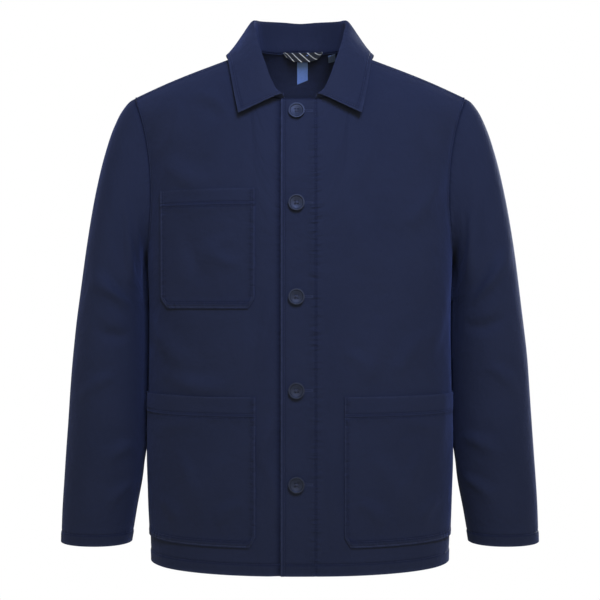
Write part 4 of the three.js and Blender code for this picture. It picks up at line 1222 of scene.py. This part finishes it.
# Buttons and buttonholes
# Five turned buttons of greyed navy resin, dished inside a raised rim, with four holes. Each is sewn on
# with two crossed loops of thread. The buttonholes in the left front are worked with close stitches.
BUTTON_COUNT = 5
BUTTON_X = -4.5 * MM
BUTTON_ZS = [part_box(f"button_{k}")[0][2] / 2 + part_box(f"button_{k}")[1][2] / 2
             for k in range(1, BUTTON_COUNT + 1)]
BUTTON_RADIUS = 10.5 * MM
BUTTON_HIGH = 3.3 * MM
BUTTON_RIM = 1.7 * MM
BUTTON_DISH = 1.2 * MM
BUTTON_LIFT = 0.7 * MM
BUTTON_RING = 1.5 * MM
BUTTON_SOFT = 0.45 * MM
BUTTON_SIDES = 64
HOLE_SIDES = 20
BUTTON_EDGE = math.radians(40)
BUTTON_SMOOTH = math.radians(35)
THREAD_SMOOTH = math.radians(60)
FRONT_FACING = 0.9
HOLE_RADIUS = 1.05 * MM
HOLE_RING = 2.5 * MM
HOLE_STEP = 0.75 * MM
HOLE_FROM_X = -7 * MM
HOLE_TO_X = 16.5 * MM
HOLE_HALF = 1.9 * MM
HOLE_SLIT = 0.3 * MM
THREAD_THICK = 0.62 * MM
THREAD_FLAT = 0.42
LOOP_SEGMENTS = 28
LOOP_SIDES = 8
RESIN_PALE = (0.0076, 0.0098, 0.0142, 1)
RESIN_DEEP = (0.0036, 0.0049, 0.0078, 1)
RESIN_CLOUD = 130.0
RESIN_SCRATCH = (900.0, 200.0, 260.0)
RESIN_RELIEF = 0.08 * MM


def resin(name, high, low):
    """Turned resin: cloudy, with faint turning marks and a soft gloss."""
    material, shader, shade = plain_material(name, 0.45, 0, (1, 1, 1, 1), 0.17)
    place = shade.node("ShaderNodeTexCoord").out("Object")
    cloud = shade.noise(place, RESIN_CLOUD, 3.0, 0.6)
    scratch = shade.noise(shade.stretched(place, RESIN_SCRATCH), 1.0, 2.0)
    shade.put(shader.inputs["Base Color"], shade.blend(cloud.between(0.3, 0.7), low, high))
    shade.put(shader.inputs["Roughness"], 0.4 + scratch * 0.22)
    shade.put(shader.inputs["Normal"], shade.relief(scratch * 0.5 + cloud * 0.5, RESIN_RELIEF))
    return material


def select_front(mesh):
    """Selects the faces that look along z and lie highest."""
    bm = bmesh.from_edit_mesh(mesh)
    highest = max(face.calc_center_median().z for face in bm.faces if face.normal.z > FRONT_FACING)
    for face in bm.faces:
        centre = face.calc_center_median()
        face.select_set(face.normal.z > FRONT_FACING and centre.z > highest - WELD)
    bmesh.update_edit_mesh(mesh)


bpy.ops.object.select_all(action="DESELECT")
bpy.ops.mesh.primitive_cylinder_add(vertices=BUTTON_SIDES, radius=BUTTON_RADIUS, depth=BUTTON_HIGH)
turned = bpy.context.object
bpy.ops.object.mode_set(mode="EDIT")
bpy.ops.mesh.select_mode(type="FACE")
bpy.ops.mesh.select_all(action="DESELECT")
select_front(turned.data)
bpy.ops.mesh.inset(thickness=BUTTON_RIM)
bpy.ops.mesh.inset(thickness=BUTTON_DISH, depth=-BUTTON_DISH)
bpy.ops.mesh.inset(thickness=BUTTON_RING)
bpy.ops.mesh.inset(thickness=BUTTON_SOFT, depth=-BUTTON_SOFT / 2)
bpy.ops.object.mode_set(mode="OBJECT")
drills = []
for k in range(4):
    way = math.radians(45 + 90 * k)
    place = (HOLE_RING * math.cos(way), HOLE_RING * math.sin(way), 0)
    bpy.ops.mesh.primitive_cylinder_add(vertices=HOLE_SIDES, radius=HOLE_RADIUS, depth=BUTTON_HIGH * 2,
                                        location=place)
    drills.append(bpy.context.object)
for drill in drills:
    bpy.context.view_layer.objects.active = turned
    hole = turned.modifiers.new("hole", "BOOLEAN")
    hole.object = drill
    hole.solver = "EXACT"
    bpy.ops.object.modifier_apply(modifier="hole")
    bpy.data.objects.remove(drill)
bpy.ops.object.select_all(action="DESELECT")
turned.select_set(True)
soft = turned.modifiers.new("soft", "BEVEL")
soft.width = BUTTON_SOFT
soft.segments = 3
soft.limit_method = "ANGLE"
soft.angle_limit = BUTTON_EDGE
bpy.ops.object.modifier_apply(modifier="soft")
bpy.ops.object.shade_smooth_by_angle(angle=BUTTON_SMOOTH)
turned.data.materials.append(resin("button resin", RESIN_PALE, RESIN_DEEP))

loops = []
for turn in (45, 135):
    upright = (math.radians(90), 0, math.radians(turn))
    bpy.ops.mesh.primitive_torus_add(major_segments=LOOP_SEGMENTS, minor_segments=LOOP_SIDES,
                                     major_radius=HOLE_RING, minor_radius=THREAD_THICK, rotation=upright)
    bpy.ops.object.transform_apply(location=False, rotation=True, scale=False)
    bpy.ops.object.mode_set(mode="EDIT")
    bpy.ops.mesh.select_all(action="SELECT")
    bpy.ops.transform.resize(value=(1, 1, THREAD_FLAT), center_override=(0, 0, 0))
    bpy.ops.object.mode_set(mode="OBJECT")
    loops.append(bpy.context.object)
bpy.ops.object.select_all(action="DESELECT")
for loop in loops:
    loop.select_set(True)
bpy.context.view_layer.objects.active = loops[0]
bpy.ops.object.join()
bpy.ops.object.shade_smooth_by_angle(angle=THREAD_SMOOTH)
tie = bpy.context.object
tie.data.materials.append(thread("button thread", NAVY_DEEP, NAVY_SHADED))
dish_z = BUTTON_HIGH / 2 - BUTTON_DISH - BUTTON_SOFT / 2
tie_rise = Matrix.Translation((0, 0, dish_z - HOLE_RING * THREAD_FLAT / 2))


def placed(master, name, place):
    """A copy of a model with its own mesh, which is moved to its place."""
    mesh = master.data.copy()
    mesh.transform(place)
    return linked(name, mesh)


hole_us, hole_vs = front_left.level(front_left.us_at_x(HOLE_FROM_X), front_left.us_at_x(HOLE_TO_X),
                                    np.linspace(0, 1, round((HOLE_TO_X - HOLE_FROM_X) / HOLE_STEP) + 1),
                                    np.array(BUTTON_ZS))
hole_paths = []
for us, vs in zip(hole_us, hole_vs):
    for at_u, at_v in zip(us, vs):
        hole_paths.append([(at_u, at_v + HOLE_SLIT), (at_u, at_v + HOLE_HALF)])
        hole_paths.append([(at_u, at_v - HOLE_SLIT), (at_u, at_v - HOLE_HALF)])
    for end in (us[0], us[0] + HOLE_STEP, us[-1], us[-1] - HOLE_STEP):
        hole_paths.append([(end, vs[0] - HOLE_HALF / 2), (end, vs[0] + HOLE_HALF / 2)])
worked = HOLE_HALF - HOLE_SLIT
buttonholes = sew("buttonholes", front_left, hole_paths, navy_thread, worked, worked)
button_us = front_left.us_at_x(BUTTON_X)
for k in range(1, BUTTON_COUNT + 1):
    low, high = (Vector(corner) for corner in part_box(f"button_{k}"))
    button_v = np.array([front_left.v_at_z(BUTTON_ZS[k - 1], 0)])
    normal = Vector(front_left.at(np.interp(button_v, front_left.v, button_us), button_v)[1][0])
    turned_out = normal.to_track_quat("Z", "Y").to_matrix().to_4x4()
    place = Matrix.Translation((low + high) / 2 + normal * BUTTON_LIFT) @ turned_out
    button = placed(turned, f"button_{k}_turned", place)
    button_thread = placed(tie, f"button_{k}_thread", place @ tie_rise)
    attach(button, "root")
    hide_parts(f"button_{k}")
    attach(button_thread, "root")
bpy.data.objects.remove(turned)
bpy.data.objects.remove(tie)

# Camera, floor and light
# The jacket is looked at level with its middle, from about 1.75 m, against a plain white ground. One soft
# light stands above and in front of it, one in front, one behind, and a small one reaches into the neck.
CAMERA_PLACE = (0, -1.75, -0.337)
CAMERA_LENS = 75.76
FLOOR_Z = -1.47
LIGHTS = [
    # place, target, size, power, spread in degrees, colour
    ((0.3, -1.5, 0.95), (0, -0.05, -0.17), 0.8, 17.5, 72, (0.33, 0.45, 1.0)),
    ((0.25, -2.6, 0.05), (0, 0, -0.3), 1.3, 20, 180, (1.0, 0.98, 0.95)),
    ((1.5, 2.2, 0.3), (0, 0, -0.3), 1.0, 80, 180, (0.9, 0.95, 1.0)),
]
NECK_LIGHT = (0, -1.1, -0.02)
NECK_TARGET = (0, 0.1, -0.03)
NECK_CONE = math.radians(7)
NECK_POWER = 20
NECK_BLEND = 0.8
NECK_SOFT = 0.03
FLOOR_SIZE = 5
FLOOR_CLOUD = 6.0
FLOOR_DIM = (0.86, 0.86, 0.86, 1)
FLOOR_PALE = (0.9, 0.9, 0.9, 1)
# The sky is white all round and dimmer above and below, between these heights of its direction
DIM_FROM = 0.3
DIM_TO = 0.55
DIM_SKY = (0.2, 0.21, 0.23, 1)


def aimed(place, target):
    """How a lamp turns to look from its place at a target."""
    return (Vector(target) - Vector(place)).to_track_quat("-Z", "Y").to_euler()


bpy.ops.object.camera_add(location=CAMERA_PLACE, rotation=(math.radians(90), 0, 0))
camera = bpy.context.object
camera.data.lens = CAMERA_LENS
bpy.context.scene.camera = camera
bpy.ops.mesh.primitive_plane_add(size=FLOOR_SIZE, location=(0, 0, FLOOR_Z))
floor = bpy.context.object
floor.name = "floor"
floor_material, floor_shader, floor_shade = plain_material("studio floor", 0.8, 0, (1, 1, 1, 1), 0.2)
floor_place = floor_shade.node("ShaderNodeTexCoord").out("Object")
floor_tone = floor_shade.noise(floor_place, FLOOR_CLOUD, 3.0)
floor_shade.put(floor_shader.inputs["Base Color"], floor_shade.blend(floor_tone, FLOOR_DIM, FLOOR_PALE))
floor.data.materials.append(floor_material)
floor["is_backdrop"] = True
for place, target, size, power, spread, colour in LIGHTS:
    bpy.ops.object.light_add(type="AREA", location=place, rotation=aimed(place, target))
    lamp = bpy.context.object.data
    lamp.size = size
    lamp.energy = power
    lamp.spread = math.radians(spread)
    lamp.color = colour
bpy.ops.object.light_add(type="SPOT", location=NECK_LIGHT, rotation=aimed(NECK_LIGHT, NECK_TARGET))
neck_lamp = bpy.context.object.data
neck_lamp.spot_size = NECK_CONE
neck_lamp.spot_blend = NECK_BLEND
neck_lamp.shadow_soft_size = NECK_SOFT
neck_lamp.energy = NECK_POWER
world = bpy.data.worlds.new("studio")
world.use_nodes = True
sky = Shade(world.node_tree)
direction = sky.node("ShaderNodeTexCoord").out("Generated")
rise = sky.node("ShaderNodeSeparateXYZ", None, {0: direction}).out(2)
dimmed = sky.maths("ABSOLUTE", rise).between(DIM_FROM, DIM_TO)
sky.put(world.node_tree.nodes["Background"].inputs["Color"], sky.blend(dimmed, (1, 1, 1, 1), DIM_SKY))
bpy.context.scene.world = world
bpy.context.scene.view_settings.view_transform = "Standard"

low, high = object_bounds()
